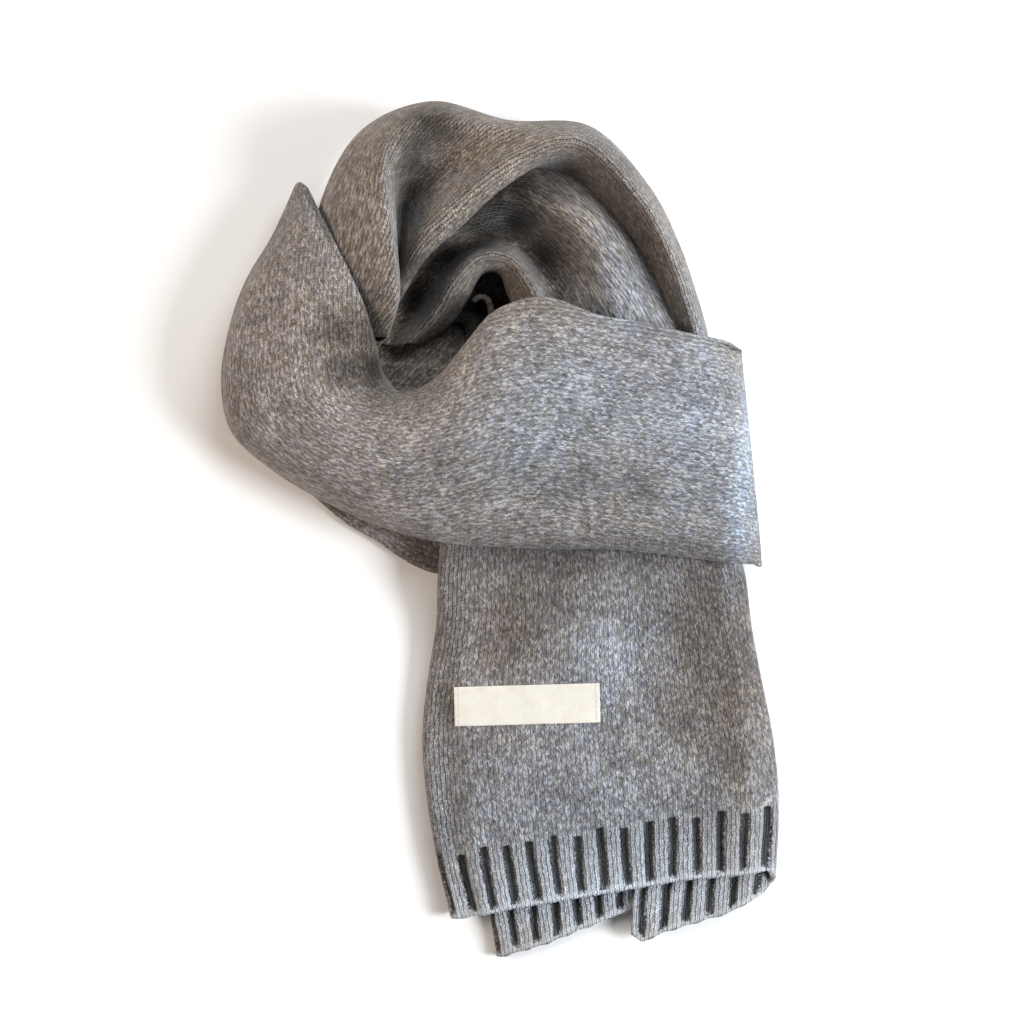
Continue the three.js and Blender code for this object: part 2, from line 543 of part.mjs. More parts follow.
function meshOf(name, solid, finish) {
  const made = solid.getMesh();
  const geometry = new THREE.BufferGeometry();
  const positions = new Float32Array(made.numVert * 3);
  for (let k = 0; k < made.numVert; k += 1) {
    positions.set(made.vertProperties.subarray(k * made.numProp, k * made.numProp + 3), k * 3);
  }
  geometry.setAttribute("position", new THREE.BufferAttribute(positions, 3));
  geometry.setIndex(new THREE.BufferAttribute(made.triVerts, 1));
  geometry.computeVertexNormals();
  const mesh = new THREE.Mesh(geometry, new THREE.MeshStandardMaterial(finish));
  mesh.name = name;
  return mesh;
}

const bandGrid = liftedBand(loft(crossBandSections(), 34, 18));
const outerGrid = loft(outerLoopSections(), 33, 18);
const innerGrid = loft(innerLoopSections(), 28, 10);

const frontStations = tailStations(FRONT_TURN_UNDER, { underLeft: 1, leftFold: 4, top: 16, rightFold: 5, underRight: 5 });
const backStations = tailStations(BACK_TURN_UNDER, { underLeft: 2, leftFold: 3, top: 8, rightFold: 3, underRight: 1 });
const aboveRibs = (end) => (s) => end(s) + RIB_LENGTH + RIB_SEAM;
const frontGrid = tailGrid(
  FRONT_TAIL, FRONT_FOLD, frontStations,
  placesBetween(() => 40, aboveRibs(frontTailEnd), 12), settleFront,
);
const backGrid = tailGrid(
  BACK_TAIL, BACK_FOLD, backStations,
  placesBetween(() => 40, aboveRibs(backTailEnd), 7), stay,
);
const frontRibs = ribbedEnd(FRONT_TAIL, FRONT_FOLD, FRONT_TURN_UNDER, frontTailEnd, settleFront, "none");
const backRibs = ribbedEnd(BACK_TAIL, BACK_FOLD, BACK_TURN_UNDER, backTailEnd, stay, "underLeft");

// A cloth wall and the same wall grown by the seam gap, to take away from what lies under it
const roomOf = (grid) => [wall(grid), wall(grid, { grow: SEAM })];
const overLoops = roomOf(bandGrid);
const overInside = [...overLoops, ...roomOf(outerGrid)];

const fineSheets = [
  liftedBand(loft(crossBandSections(), 51, 36)),
  loft(outerLoopSections(), 44, 36),
  loft(innerLoopSections(), 35, 25),
];

const group = new THREE.Group();
const add = (name, solid, finish = WOOL) => group.add(meshOf(name, solid, finish));
add("cross_band", wall(bandGrid));
add("outer_loop", cleared(wall(outerGrid), overLoops));
add("inner_loop", cleared(wall(innerGrid), overInside));
add("front_tail", cleared(wall(frontGrid), overLoops));
add("front_ribs", frontRibs);
add("back_tail", cleared(wall(backGrid), overLoops));
add("back_ribs", backRibs);
add("hidden_layers", hiddenLayers(fineSheets));
add("centre_curl", cleared(centreCurl(), overInside));
add("label", label(), LABEL_SATIN);
group.position.set(-MIDDLE.x, -MIDDLE.y, 0);

export default group;
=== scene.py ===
import bpy
import numpy as np
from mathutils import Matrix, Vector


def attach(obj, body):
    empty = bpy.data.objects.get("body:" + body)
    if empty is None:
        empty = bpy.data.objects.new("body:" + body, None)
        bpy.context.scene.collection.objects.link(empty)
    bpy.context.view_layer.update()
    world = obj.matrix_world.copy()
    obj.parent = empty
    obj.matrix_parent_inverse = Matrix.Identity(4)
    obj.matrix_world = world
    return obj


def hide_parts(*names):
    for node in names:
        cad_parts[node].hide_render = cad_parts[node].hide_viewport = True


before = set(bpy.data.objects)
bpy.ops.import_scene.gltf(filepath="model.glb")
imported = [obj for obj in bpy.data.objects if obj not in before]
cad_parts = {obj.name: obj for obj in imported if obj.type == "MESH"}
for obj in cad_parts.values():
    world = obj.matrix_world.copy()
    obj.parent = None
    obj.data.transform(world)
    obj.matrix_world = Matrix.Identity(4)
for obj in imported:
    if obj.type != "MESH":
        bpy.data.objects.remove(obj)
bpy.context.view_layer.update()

# Sizes in millimetres, as the solids have them: MIDDLE is the middle of the scarf's plan, which is the origin
# of the frame, a wale is a column of stitches and a course a row of them, and a fold is given by its radius
MM = 0.001
MIDDLE = np.array([0.494, -3.62, 0.0])
CLOTH = 2.5
WALE = 2.18
COURSE = 1.6
RIB_PITCH = 10.9
RIB_FURROW = 3.8
RIB_DEPTH = 2.0
RIB_CROWN = 0.5
RIB_LENGTH = 31.0
CAST_OFF = 3.6
FRONT_FOLD = 5.0
BACK_FOLD = 3.5
FRONT_TURN_UNDER = (12.0, 64.0)
BACK_TURN_UNDER = (60.0, 8.0)
TAIL_TOP = 40.0
WIDTH_Y = -180.0
LABEL_LENGTH = 70.0
LABEL_WIDTH = 19.0
LABEL_THICKNESS = 0.6
LABEL_MIDDLE = (13.0, -84.0)
LABEL_TURN = 1.6
LABEL_GAP = 0.6
LAYERS_TOP = 5.4
HOLLOW_FLOOR = 2.5
HOLLOW_MIDDLE = np.array([-38.0, 90.0])
CURL_FOOT = 5.6
CURL_HEIGHT = 11.4
CURL_THICKNESS = 2.6

# Colours: yarns of the wool, the painted shade that grooves, furrows and deep places multiply them by, the
# ends of the scales for the painted light and shade of broad areas, cool where light falls and warm where
# shade falls, and for the blotches, then the satin, its warp lines and its seam, and the floor
DARK_YARN = (0.08, 0.073, 0.069, 1)
MIDDLE_YARN = (0.192, 0.18, 0.172, 1)
LIGHT_YARN = (0.51, 0.495, 0.485, 1)
GROOVE_SHADE = (0.17, 0.16, 0.155, 1)
FURROW_SHADE = (0.1, 0.1, 0.1, 1)
DEEP_SHADE = (0.03, 0.024, 0.017, 1)
PAINTED_SHADE_END, PAINTED_LIGHT_END = (0.3, 0.29, 0.285, 1), (1.7, 1.71, 1.72, 1)
WARM_SHADE_CAST, COOL_LIGHT_CAST = (1.14, 1.0, 0.84, 1), (0.86, 1.0, 1.16, 1)
WARM_BLOTCH, COOL_BLOTCH = (1.01, 0.985, 0.94, 1), (0.98, 0.98, 1.05, 1)
DULL_SATIN, BRIGHT_SATIN = (0.63, 0.575, 0.48, 1), (0.76, 0.745, 0.7, 1)
WARP_SHADE = (0.6, 0.53, 0.44, 1)
SEAM_SHADE = (0.4, 0.36, 0.31, 1)
FLOOR_WHITE = (0.92, 0.92, 0.92, 1)

# Sections of the outer loop: brow, crest, dip and lip across the cloth, and how far the lip turns under
OUTER_LOOP = [
    ((105, 63, 12), (102, 62, 20), (100, 62, 25), (96, 62, 27), 0),
    ((101, 93, 13), (98, 92, 24), (96, 92, 29), (93, 91, 31), 0),
    ((94, 116, 17), (92, 113, 30), (90, 112, 38), (86, 110, 42), 0),
    ((85, 139, 22), (82, 135, 38), (80, 133, 46), (77, 131, 50), 0),
    ((72, 162, 26), (70, 158, 44), (68, 154, 53), (64, 151, 58), 0),
    ((43, 191, 30), (40, 185, 50), (38, 181, 60), (35, 176, 64), 0.3),
    ((4, 193, 34), (3, 183, 58), (2, 175, 58), (3, 166, 63), 1),
    ((-32, 202, 34), (-32, 186, 65), (-28, 165, 44), (-20, 148, 58), 1),
    ((-65, 189, 33), (-51, 171, 67), (-44, 153, 34), (-37, 134, 49), 1),
    ((-84, 157, 30), (-51, 144, 62), (-48, 133, 26), (-47, 118, 36), 1),
    ((-90, 115, 24), (-48, 110, 51), (-51, 107, 20), (-55, 100, 22), 1),
    ((-88, 91, 20), (-53, 90, 38), (-58, 89, 18), (-62, 84, 16), 1),
]

# Sections of the inner loop: edge, hump, dip, ridge and nose across the cloth
INNER_LOOP = [
    ((97, 72, 18), (67, 72, 24), (35, 72, 18), (25, 72, 22), (17, 73, 14)),
    ((90, 94, 22), (66, 95, 30), (30, 99, 19), (21, 98, 27), (12, 97, 16)),
    ((74, 122, 29), (50, 127, 40), (22, 122, 18), (14, 117, 34), (4, 114, 20)),
    ((51, 155, 33), (33, 148, 44), (9, 136, 19), (4, 128, 38), (0, 123, 26)),
    ((21, 174, 34), (7, 159, 38), (-6, 140, 18), (-9, 129, 37), (-8, 124, 28)),
    ((-19, 167, 26), (-26, 150, 28), (-26, 128, 15), (-22, 118, 32), (-16, 112, 22)),
    ((-51, 130, 16), (-49, 118, 15), (-41, 107, 11), (-32, 103, 24), (-24, 100, 14)),
    ((-64, 97, 10), (-61, 92, 9), (-54, 90, 8), (-46, 90, 14), (-40, 90, 9)),
]

# Sections of the crossing band: plan points of its two sides, then the heights of its foot, outer side,
# crown, inner side and the drop below it, then how far each side turns under and how flat it lies
BAND_COLUMNS = ("outer", "inner", "foot_z", "outer_z", "crown_z", "inner_z", "drop", "roll", "lap", "flat")
CROSS_BAND = [
    ((-98, 168), (-93, 166), 12, 17, 22, 21, 5, 0, 0, 0),
    ((-110, 143), (-80, 141), 6, 14, 40, 43, 4, 1, 0, 0),
    ((-124, 119), (-70, 121), 6, 13, 46, 48, 5, 1, 0, 0),
    ((-132, 94), (-62, 103), 6, 13, 50, 49, 8, 0.9, 0, 0),
    ((-135, 70), (-58, 87), 6, 13, 50, 43, 18, 0.5, 0, 0),
    ((-130, 47), (-56, 74), 6, 13, 48, 35, 24, 0, 0, 0),
    ((-112, 30), (-49, 66), 6, 13, 45, 32, 23, 0, 0, 0),
    ((-82, 12), (-39, 67), 6, 15, 43, 32, 23, 0, 0.1, 0),
    ((-53, 0), (-28, 74), 9, 20, 43, 34, 22, 0, 0.5, 0),
    ((-26, -6), (-16, 88), 25.4, 28.5, 44, 38, 14, 0.3, 1, 0),
    ((0, -8), (-2, 103), 25.4, 29, 45, 41, 9, 0.8, 1, 0),
    ((24, -9), (21, 109), 25.4, 29, 44, 42, 6, 1, 1, 0),
    ((48, -9), (46, 101), 25.4, 29, 43, 41, 5, 1, 1, 0),
    ((72, -11), (69, 97), 25.4, 29, 42, 40, 5, 1, 1, 0),
    ((95, -14), (92, 92), 25, 28, 40, 39, 5, 1, 1, 0.1),
    ((115, -17), (108, 90), 21, 23, 33, 32, 3, 0.6, 0.6, 0.4),
    ((126, -18), (116, 87), 14, 15, 19, 18, 0, 0, 0, 1),
    ((128, -16), (118, 86), 2, 2, 2, 2, 0, 0, 0, 1),
]

# Tails: place along them, left and right sides, and the height of what they lie on
FRONT_TAIL = [
    (60, -20, 100, 14), (0, -28, 112, 14), (-22, -30, 118, 14), (-45, -31, 122, 10.4), (-70, -35, 127, 8.4),
    (-100, -38, 133, 8), (-130, -36, 136, 8), (-160, -31, 135, 8), (-190, -24, 133, 8), (-210, -20, 132, 8),
]
BACK_TAIL = [
    (60, -10, 85, 6.2), (0, -16, 98, 6.2), (-24, -18, 104, 6.2), (-48, -19, 110, 1.4), (-70, -19, 114, 0),
    (-110, -17, 118, 0), (-150, -12, 120, 0), (-190, -5, 120, 0), (-215, -1, 120, 0),
]
FRONT_HEM = [(-27, -190), (5, -183), (48, -176), (89, -169), (135, -165)]
FRONT_UNDER_HEM = [(65, -197), (70, -201), (81, -196), (111, -187), (131, -176)]
BACK_HEM = [(-6, -210), (20, -203), (54, -190), (120, -166)]

# Plan outline of the hidden layers, anticlockwise, and of the small hollow in the middle of the loops
UNDER_SIDE = [
    (-107, 32), (-86, 11), (-61, -6), (-34, -21), (10, -16), (60, -14), (104, -14), (121, -13),
    (119, 30), (113, 80), (98, 92), (90, 116), (81, 138), (68, 160), (41, 187), (4, 189),
    (-32, 198), (-62, 186), (-83, 156), (-97, 155), (-112, 134), (-125, 106), (-130, 70), (-125, 48),
]
HOLLOW = [
    (-62, 84), (-50, 81.5), (-34, 81), (-22, 83), (-17, 92), (-19, 101), (-32, 99), (-48, 94), (-60, 91),
]

# Plan line of the small edge that stands in the hollow
CURL = [(-15, 112), (-11, 114.5), (-6.5, 113.5), (-4, 109), (-3.5, 103)]

# Edge of the hidden layers: how far in it is set and its height, over two layers with a groove between them
LAYER_EDGE = [
    (14, 0), (6, 0), (3, 0), (1.7, 0.05), (0.9, 0.25), (0.35, 0.7), (0.2, 1.25), (0.4, 1.8), (0.9, 2.25),
    (1.5, 2.5), (1.9, 2.65), (1.5, 2.8), (0.9, 3.0), (0.4, 3.4), (0.2, 3.95), (0.35, 4.5), (0.9, 5.0),
    (1.9, 5.3), (3.2, LAYERS_TOP), (6, LAYERS_TOP), (10, LAYERS_TOP),
]

# Wall of the hollow: how far out of the hollow's outline it is set, and its height
HOLLOW_EDGE = [
    (6, LAYERS_TOP), (2.5, LAYERS_TOP), (1.0, 5.25), (0.2, 4.7),
    (0, 4.0), (0.1, 3.2), (-0.6, 2.7), (-2, HOLLOW_FLOOR),
]

# Painted shade of deep places that little light reaches: middle, reach in plan, reach in height, and how dark
# the wool is painted there
DEEP_PLACES = [
    (-7, 107, 6, 15, 14, 0.96),
    (-18, 100, 4, 15, 13, 0.97),
    (-40, 90, 0, 24, 8, 0.15),
    (-41, 112, 14, 15, 20, 0.96),
    (-40, 125, 34, 10, 16, 0.8),
    (-25, 110, 22, 10, 12, 0.78),
    (-24, 131, 22, 13, 18, 0.93),
    (-8, 145, 22, 18, 24, 0.985),
    (8, 147, 26, 18, 22, 0.985),
    (-2, 153, 30, 13, 16, 0.95),
    (11, 160, 36, 12, 14, 0.86),
    (24, 160, 40, 12, 14, 0.7),
    (-12, 135, 30, 13, 9, 0.45),
    (27, 144, 32, 11, 13, 0.6),
    (20, 131, 24, 17, 20, 0.985),
    (9, 127, 33, 8, 10, 0.5),
    (24, 108, 16, 13, 12, 0.8),
    (26, 172, 44, 11, 14, 0.85),
    (43, 171, 51, 10, 12, 0.78),
    (57, 169, 53, 8, 12, 0.55),
    (57, 157, 47, 9, 12, 0.65),
    (72, 134, 28, 8, 12, 0.6),
    (86, 106, 22, 8, 12, 0.5),
    (-30, 184, 62, 14, 14, 0.76),
    (-38, 178, 55, 10, 14, 0.82),
    (-40, 169, 47, 10, 15, 0.87),
    (-41, 160, 40, 10, 15, 0.82),
    (-42, 150, 33, 10, 15, 0.72),
    (-30, 140, 40, 10, 14, 0.4),
    (-60, 92, 32, 16, 26, 0.97),
    (-57, 77, 34, 16, 24, 0.97),
    (-72, 92, 47, 12, 16, 0.7),
    (-70, 76, 43, 12, 16, 0.7),
    (-42, 77, 30, 10, 14, 0.55),
    (-56, 106, 44, 9, 14, 0.4),
]

# Painted light and shade over broad areas of the wool, cool where light falls and warm where shade falls:
# middle, direction in degrees, length and width, then how much lighter and how much cooler it is painted
# there, on scales from -1 to 1
PAINTED_LIGHT_AREAS = [
    (42, 66, -24, 110, 46, 0.22, 0.5),
    (8, 42, 0, 60, 40, 0.16, 0.5),
    (114, 4, 84, 50, 26, 0.3, 0.5),
    (56, 112, -60, 56, 34, 0.2, 0.8),
    (92, 132, -64, 140, 18, -0.2, -0.5),
    (92, 58, 84, 120, 30, 0.2, 0.5),
    (116, 36, 84, 150, 14, 0.5, 0.7),
    (46, 20, -4, 120, 20, -0.3, 0.1),
    (30, -13, 0, 130, 20, -0.5, 0.1),
    (8, -38, 60, 46, 36, -0.35, -0.2),
    (100, -44, 80, 110, 44, -0.5, -0.2),
    (54, -62, 64, 84, 46, 0.24, 0.6),
    (114, -94, 86, 110, 30, -0.4, -0.35),
    (0, -58, 90, 50, 30, -0.15, -0.2),
    (45, -140, 0, 190, 70, 0.0, 0.5),
    (45, -180, 4, 200, 44, 0.7, 0.45),
    (-100, 70, 90, 130, 50, 0.05, -0.1),
    (-16, 188, 0, 70, 26, -0.12, -0.4),
    (-10, 186, 0, 170, 80, -0.03, -0.7),
    (0, 120, 0, 220, 70, 0.0, -0.4),
    (-42, 90, 0, 44, 18, 0.35, -0.8),
    (-50, 72, 0, 90, 70, 0.0, -0.5),
    (74, -32, 0, 60, 30, -0.25, -0.1),
    (28, -46, 90, 70, 26, -0.2, 0.0),
]

# Creases, as soft ridges and troughs: middle, direction of the crease in degrees, length, width and height
TAIL_CREASES = [
    (22, -50, -52, 60, 16, 1.8),
    (78, -92, -48, 46, 15, -1.6),
    (45, -120, -60, 40, 13, 1.4),
    (112, -110, -78, 60, 12, -1.2),
    (-14, -130, 86, 60, 10, 1.0),
    (64, -38, -38, 38, 9, 0.9),
    (96, -60, -66, 44, 8, 0.8),
    (8, -112, -74, 30, 8, -0.7),
    (62, -146, -84, 34, 9, 0.7),
    (100, -136, -70, 26, 7, 0.5),
]
BAND_CREASES = [
    (10, 40, 24, 70, 20, 3.0),
    (60, 20, 35, 60, 16, -2.6),
    (98, 48, 74, 50, 12, 1.6),
    (-62, 34, -34, 50, 14, 1.6),
    (-92, 96, 66, 46, 14, 1.8),
    (36, 66, 8, 46, 11, -1.3),
    (84, 6, 28, 34, 9, 1.0),
    (-8, 14, 12, 40, 9, -0.9),
    (-104, 60, 96, 34, 9, -1.0),
    (-78, 122, 58, 30, 8, 0.9),
    (104, 20, 66, 30, 7, -0.8),
]
OUTER_CREASES = [
    (-76, 130, 64, 60, 15, 1.6),
    (-20, 172, -24, 44, 14, -1.5),
    (-70, 96, 82, 40, 10, -1.2),
    (-66, 160, 58, 30, 8, 0.9),
    (18, 180, -8, 30, 8, 0.8),
]
INNER_CREASES = [
    (52, 112, -60, 50, 14, 2.0),
    (34, 128, -48, 40, 10, -1.6),
    (70, 104, -64, 36, 9, -1.0),
    (-14, 146, 30, 34, 10, 1.2),
]


# Curves and grids
def through(points, share):
    """Centripetal Catmull-Rom curve through the points along the first axis, at shares 0 to 1 of its
    spans."""
    points = np.asarray(points, float)
    last = len(points) - 1
    ends = [2 * points[0] - points[1], 2 * points[last] - points[last - 1]]
    padded = np.concatenate([ends[0][None], points, ends[1][None]])
    place = np.asarray(share, float) * last
    span = np.minimum(place.astype(int), last - 1)
    weight = (place - span).reshape(-1, *[1] * (points.ndim - 1))
    before, start, end, after = (padded[span + k] for k in range(4))

    def pace(a, b):
        return ((b - a) ** 2).sum(-1, keepdims=True) ** 0.25

    middle = pace(start, end)
    middle = np.where(middle < 1e-4, 1.0, middle)
    first, third = (np.where(d < 1e-4, middle, d) for d in (pace(before, start), pace(end, after)))
    leave = ((start - before) / first - (end - before) / (first + middle) + (end - start) / middle) * middle
    arrive = ((end - start) / middle - (after - start) / (middle + third) + (after - end) / third) * middle
    cubic = 2 * start - 2 * end + leave + arrive
    square = -3 * start + 3 * end - 2 * leave - arrive
    return cubic * weight**3 + square * weight**2 + leave * weight + start


def closed_through(points, per_span):
    """Closed centripetal Catmull-Rom curve through the points, with per_span points for each span."""
    count = len(points)
    padded = [*points[-3:], *points, *points[:3]]
    shares = (3 + np.arange(count * per_span) / per_span) / (len(padded) - 1)
    return through(padded, shares)


def mix(a, b, t):
    """a at t = 0, b at t = 1, on the straight line between them elsewhere."""
    return a + (b - a) * t


def smooth(t):
    """0 below 0, 1 above 1, and the smooth step 3t^2 - 2t^3 between."""
    c = np.clip(t, 0, 1)
    return c * c * (3 - 2 * c)


def unit(v):
    """Vectors divided by their lengths."""
    return v / np.maximum(np.linalg.norm(v, axis=-1, keepdims=True), 1e-9)


def round_centre(ring, centre, angles):
    """Distance of a ring from the centre at the angles."""
    offset = ring - centre
    turn = np.arctan2(offset[:, 1], offset[:, 0])
    order = np.argsort(turn)
    reach = np.linalg.norm(offset, axis=1)[order]
    return np.interp(angles, turn[order], reach, period=2 * np.pi)


def loft(sections, shares_along, shares_across):
    """Grid through sections: a curve across each section, then curves along through like places on
    them."""
    cuts = through(np.swapaxes(sections, 0, 1), shares_across)
    return through(np.swapaxes(cuts, 0, 1), shares_along)


def normals_of(grid):
    """Unit cross product of the grid's steps along and across."""
    return unit(np.cross(np.gradient(grid, axis=0), np.gradient(grid, axis=1)))


def relief(creases, x, y):
    """Sum over creases of height * exp(-(run / half length)^2 - (off / half width)^2) at plan places."""
    total = np.zeros_like(x)
    for crease_x, crease_y, turn, length, width, height in creases:
        cos, sin = np.cos(np.radians(turn)), np.sin(np.radians(turn))
        dx, dy = x - crease_x, y - crease_y
        run = (dx * cos + dy * sin) / (length / 2)
        off = (dy * cos - dx * sin) / (width / 2)
        total += height * np.exp(-run * run - off * off)
    return total


def edged(count, rim):
    """Shares 0 to 1: count even steps, with close ones in the first and last rim for a rounded edge."""
    close = rim * np.array([0, 0.08, 0.3, 0.65])
    return np.concatenate([close, np.linspace(rim, 1 - rim, count), 1 - close[::-1]])


def rounded(shares, rim):
    """Height of a half ellipse over the first and last rim of the shares, and 1 between them."""
    near = np.clip(np.minimum(shares, 1 - shares) / rim, 0, 1)
    return np.sqrt(1 - (1 - near) ** 2)


def lengths(grid, axis):
    """Running length along one axis of the grid."""
    steps = np.linalg.norm(np.diff(grid, axis=axis), axis=-1)
    start = np.zeros_like(np.take(steps, [0], axis=axis))
    return np.concatenate([start, np.cumsum(steps, axis=axis)], axis=axis)


# Meshes: the maps of each piece are Knit (places across and along the knitting in mm), Ribs (distance into a
# furrow, distance up from the hem), Shade (fold, painted shade) and the map of painted light (how much
# lighter, how much cooler)
NO_FURROW = -20.0
PLAIN = (NO_FURROW, 0.0, 0.0, 0.0)


def painted_light_of(points):
    """Painted light and shade at the points, as how much lighter and how much cooler the wool is painted: the
    relief of the broad painted areas.
    """
    x, y = points[:, 0], points[:, 1]
    light = relief([(*area, change) for *area, change, _ in PAINTED_LIGHT_AREAS], x, y)
    cool = relief([(*area, change) for *area, _, change in PAINTED_LIGHT_AREAS], x, y)
    return np.stack([light, cool], axis=-1)


def mesh_piece(name, points, faces, material, maps):
    """Object at the origin from points in mm, faces of point numbers, and named maps of 2 values a
    point."""
    mesh = bpy.data.meshes.new(name)
    mesh.from_pydata(((points - MIDDLE) * MM).tolist(), [], faces)
    mesh.update()
    corner = np.zeros(len(mesh.loops), np.int32)
    mesh.loops.foreach_get("vertex_index", corner)
    # Every piece also gets the map of painted light and shade of the broad areas
    for map_name, values in {**maps, "PaintedLight": painted_light_of(points)}.items():
        layer = mesh.uv_layers.new(name=map_name)
        layer.data.foreach_set("uv", values[corner].astype(np.float32).ravel())
    mesh.polygons.foreach_set("use_smooth", np.ones(len(mesh.polygons), bool))
    mesh.materials.append(material)
    piece = bpy.data.objects.new(name, mesh)
    bpy.context.scene.collection.objects.link(piece)
    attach(piece, "root")
    return piece


def deep(points):
    """Painted shade of the deep places: the largest over them of share * exp(-(plan distance / reach)^2 -
    (height over it / reach)^2)."""
    darkest = np.zeros(points.shape[:-1])
    for x, y, z, reach, high, share in DEEP_PLACES:
        plan = ((points[..., 0] - x) ** 2 + (points[..., 1] - y) ** 2) / reach**2
        darkest = np.maximum(darkest, share * np.exp(-plan - ((points[..., 2] - z) / high) ** 2))
    return darkest


def shell(
    name, outer, rims, knit, material, thickness=CLOTH, lift=0.0, lift_inside=0.0, marks=PLAIN
):
    """Thin closed shell under the grid outer: its middle is half a thickness below, and both sides leave
    it by half a thickness times the rounded rim. lift raises the outer side, and lift_inside lowers the
    inner one. knit is the Knit map, and marks has the Ribs map, then the fold and a painted shade; the
    Shade map takes the fold and the larger of that painted shade and the painted shade of deep places."""
    rows, columns = outer.shape[:2]
    normals = normals_of(outer)
    middle = outer - normals * thickness / 2
    top = middle + normals * ((thickness / 2 + lift) * rims)[..., None]
    under = middle - normals * ((thickness / 2 + lift_inside) * rims)[..., None]
    upper = np.arange(rows * columns).reshape(rows, columns)
    lower = upper.copy()
    lower[1:-1, 1:-1] = rows * columns + np.arange((rows - 2) * (columns - 2)).reshape(rows - 2, columns - 2)

    def quads(index):
        corners = [index[:-1, :-1], index[1:, :-1], index[1:, 1:], index[:-1, 1:]]
        return np.stack(corners, axis=-1).reshape(-1, 4)

    points = np.concatenate([top.reshape(-1, 3), under[1:-1, 1:-1].reshape(-1, 3)])
    faces = np.concatenate([quads(upper), quads(lower)[:, ::-1]]).tolist()
    marks = np.broadcast_to(marks, (rows, columns, 4))
    # Painted shade: the larger of the deep places' painted shade and the painted shade in the marks
    dark = np.maximum(deep(outer), marks[..., 3])
    sides = {"Knit": knit, "Ribs": marks[..., :2], "Shade": np.stack([marks[..., 2], dark], axis=-1)}
    maps = {
        label: np.concatenate([values.reshape(-1, 2), values[1:-1, 1:-1].reshape(-1, 2)])
        for label, values in sides.items()
    }
    return mesh_piece(name, points, faces, material, maps)


def knit_places(grid, reference):
    """Places across and along the knitting in mm: across from the reference column, along at that
    column."""
    across = lengths(grid, 1)
    across = across - across[:, reference : reference + 1]
    along = np.broadcast_to(lengths(grid, 0)[:, reference : reference + 1], across.shape)
    return np.stack([across, along], axis=-1)


# The three stretches of the wound part
def outer_loop_sections():
    """Foot near the table, brow, crest, dip, lip, then the nose and tuck of the side that turns down
    inside. They stand off the brow and the lip by straight distances in plan and in height, mixed by how
    far the lip rolls."""
    brow, crest, dip, lip = (np.array([row[k] for row in OUTER_LOOP], float) for k in range(4))
    roll = np.array([row[4] for row in OUTER_LOOP], float)
    foot_inset, foot_z = 2, 6
    nose_reach, nose_drop = mix(4, 8, roll), 7
    tuck_reach, tuck_drop, lowest_tuck = mix(14, 1, roll), mix(36, 15, roll), 9
    flat = np.array([1, 1, 0])
    out = unit((brow - lip) * flat)
    inward = unit((lip - dip) * flat)
    foot = brow - foot_inset * out
    foot[:, 2] = foot_z
    nose = lip + inward * nose_reach[:, None]
    nose[:, 2] -= nose_drop
    tuck = lip + inward * tuck_reach[:, None]
    tuck[:, 2] = np.maximum(lip[:, 2] - tuck_drop, lowest_tuck)
    return np.stack([foot, brow, crest, dip, lip, nose, tuck], axis=1)


def inner_loop_sections():
    """Edge, hump, dip, ridge and nose, then the tuck of the side that stands on the layers below: straight
    under the nose, at a set height or 2 mm below it where that is lower."""
    tuck_z, least_drop = 6.5, 2
    points = np.array(INNER_LOOP, float)
    tuck = points[:, 4].copy()
    tuck[:, 2] = np.minimum(tuck_z, tuck[:, 2] - least_drop)
    return np.concatenate([points, tuck[:, None]], axis=1)


def cross_band_sections():
    """Foot, outer side, shoulder, crown, inner shoulder, inner side and the side turned down, on each plan
    line: shares of the line's width or distances from its ends, at heights mixed from the table's."""
    rows = {name: np.array([row[k] for row in CROSS_BAND], float) for k, name in enumerate(BAND_COLUMNS)}
    widest_bend, foot_inset, side_inset, side_drop = 9, 2, 2, 1.5
    shoulder_share, inner_share, inner_rise, turned_share = 0.62, 0.75, 1.5, 0.8
    width = np.linalg.norm(rows["inner"] - rows["outer"], axis=1)
    bend = np.minimum(widest_bend, width / 4)
    outer_z, crown_z, inner_z, flat = (rows[name] for name in ("outer_z", "crown_z", "inner_z", "flat"))

    def at(distance, z):
        plan = mix(rows["outer"], rows["inner"], (distance / width)[:, None])
        return np.concatenate([plan, z[:, None]], axis=1)

    foot_distance = mix(mix(foot_inset, bend, rows["lap"]), 0, flat)
    inner_shoulder_z = mix(mix(crown_z, inner_z, inner_share) + inner_rise, inner_z, flat)
    turned_under = mix(0, bend * turned_share, rows["roll"])
    points = [
        at(foot_distance, rows["foot_z"]),
        at(mix(0, side_inset, flat), outer_z),
        at(bend, mix(outer_z, crown_z, shoulder_share)),
        at(width / 2, crown_z),
        at(width - bend, inner_shoulder_z),
        at(width - mix(0, side_inset, flat), inner_z - mix(side_drop, 0, flat)),
        at(width - turned_under, inner_z - rows["drop"]),
    ]
    return np.stack(points, axis=1)


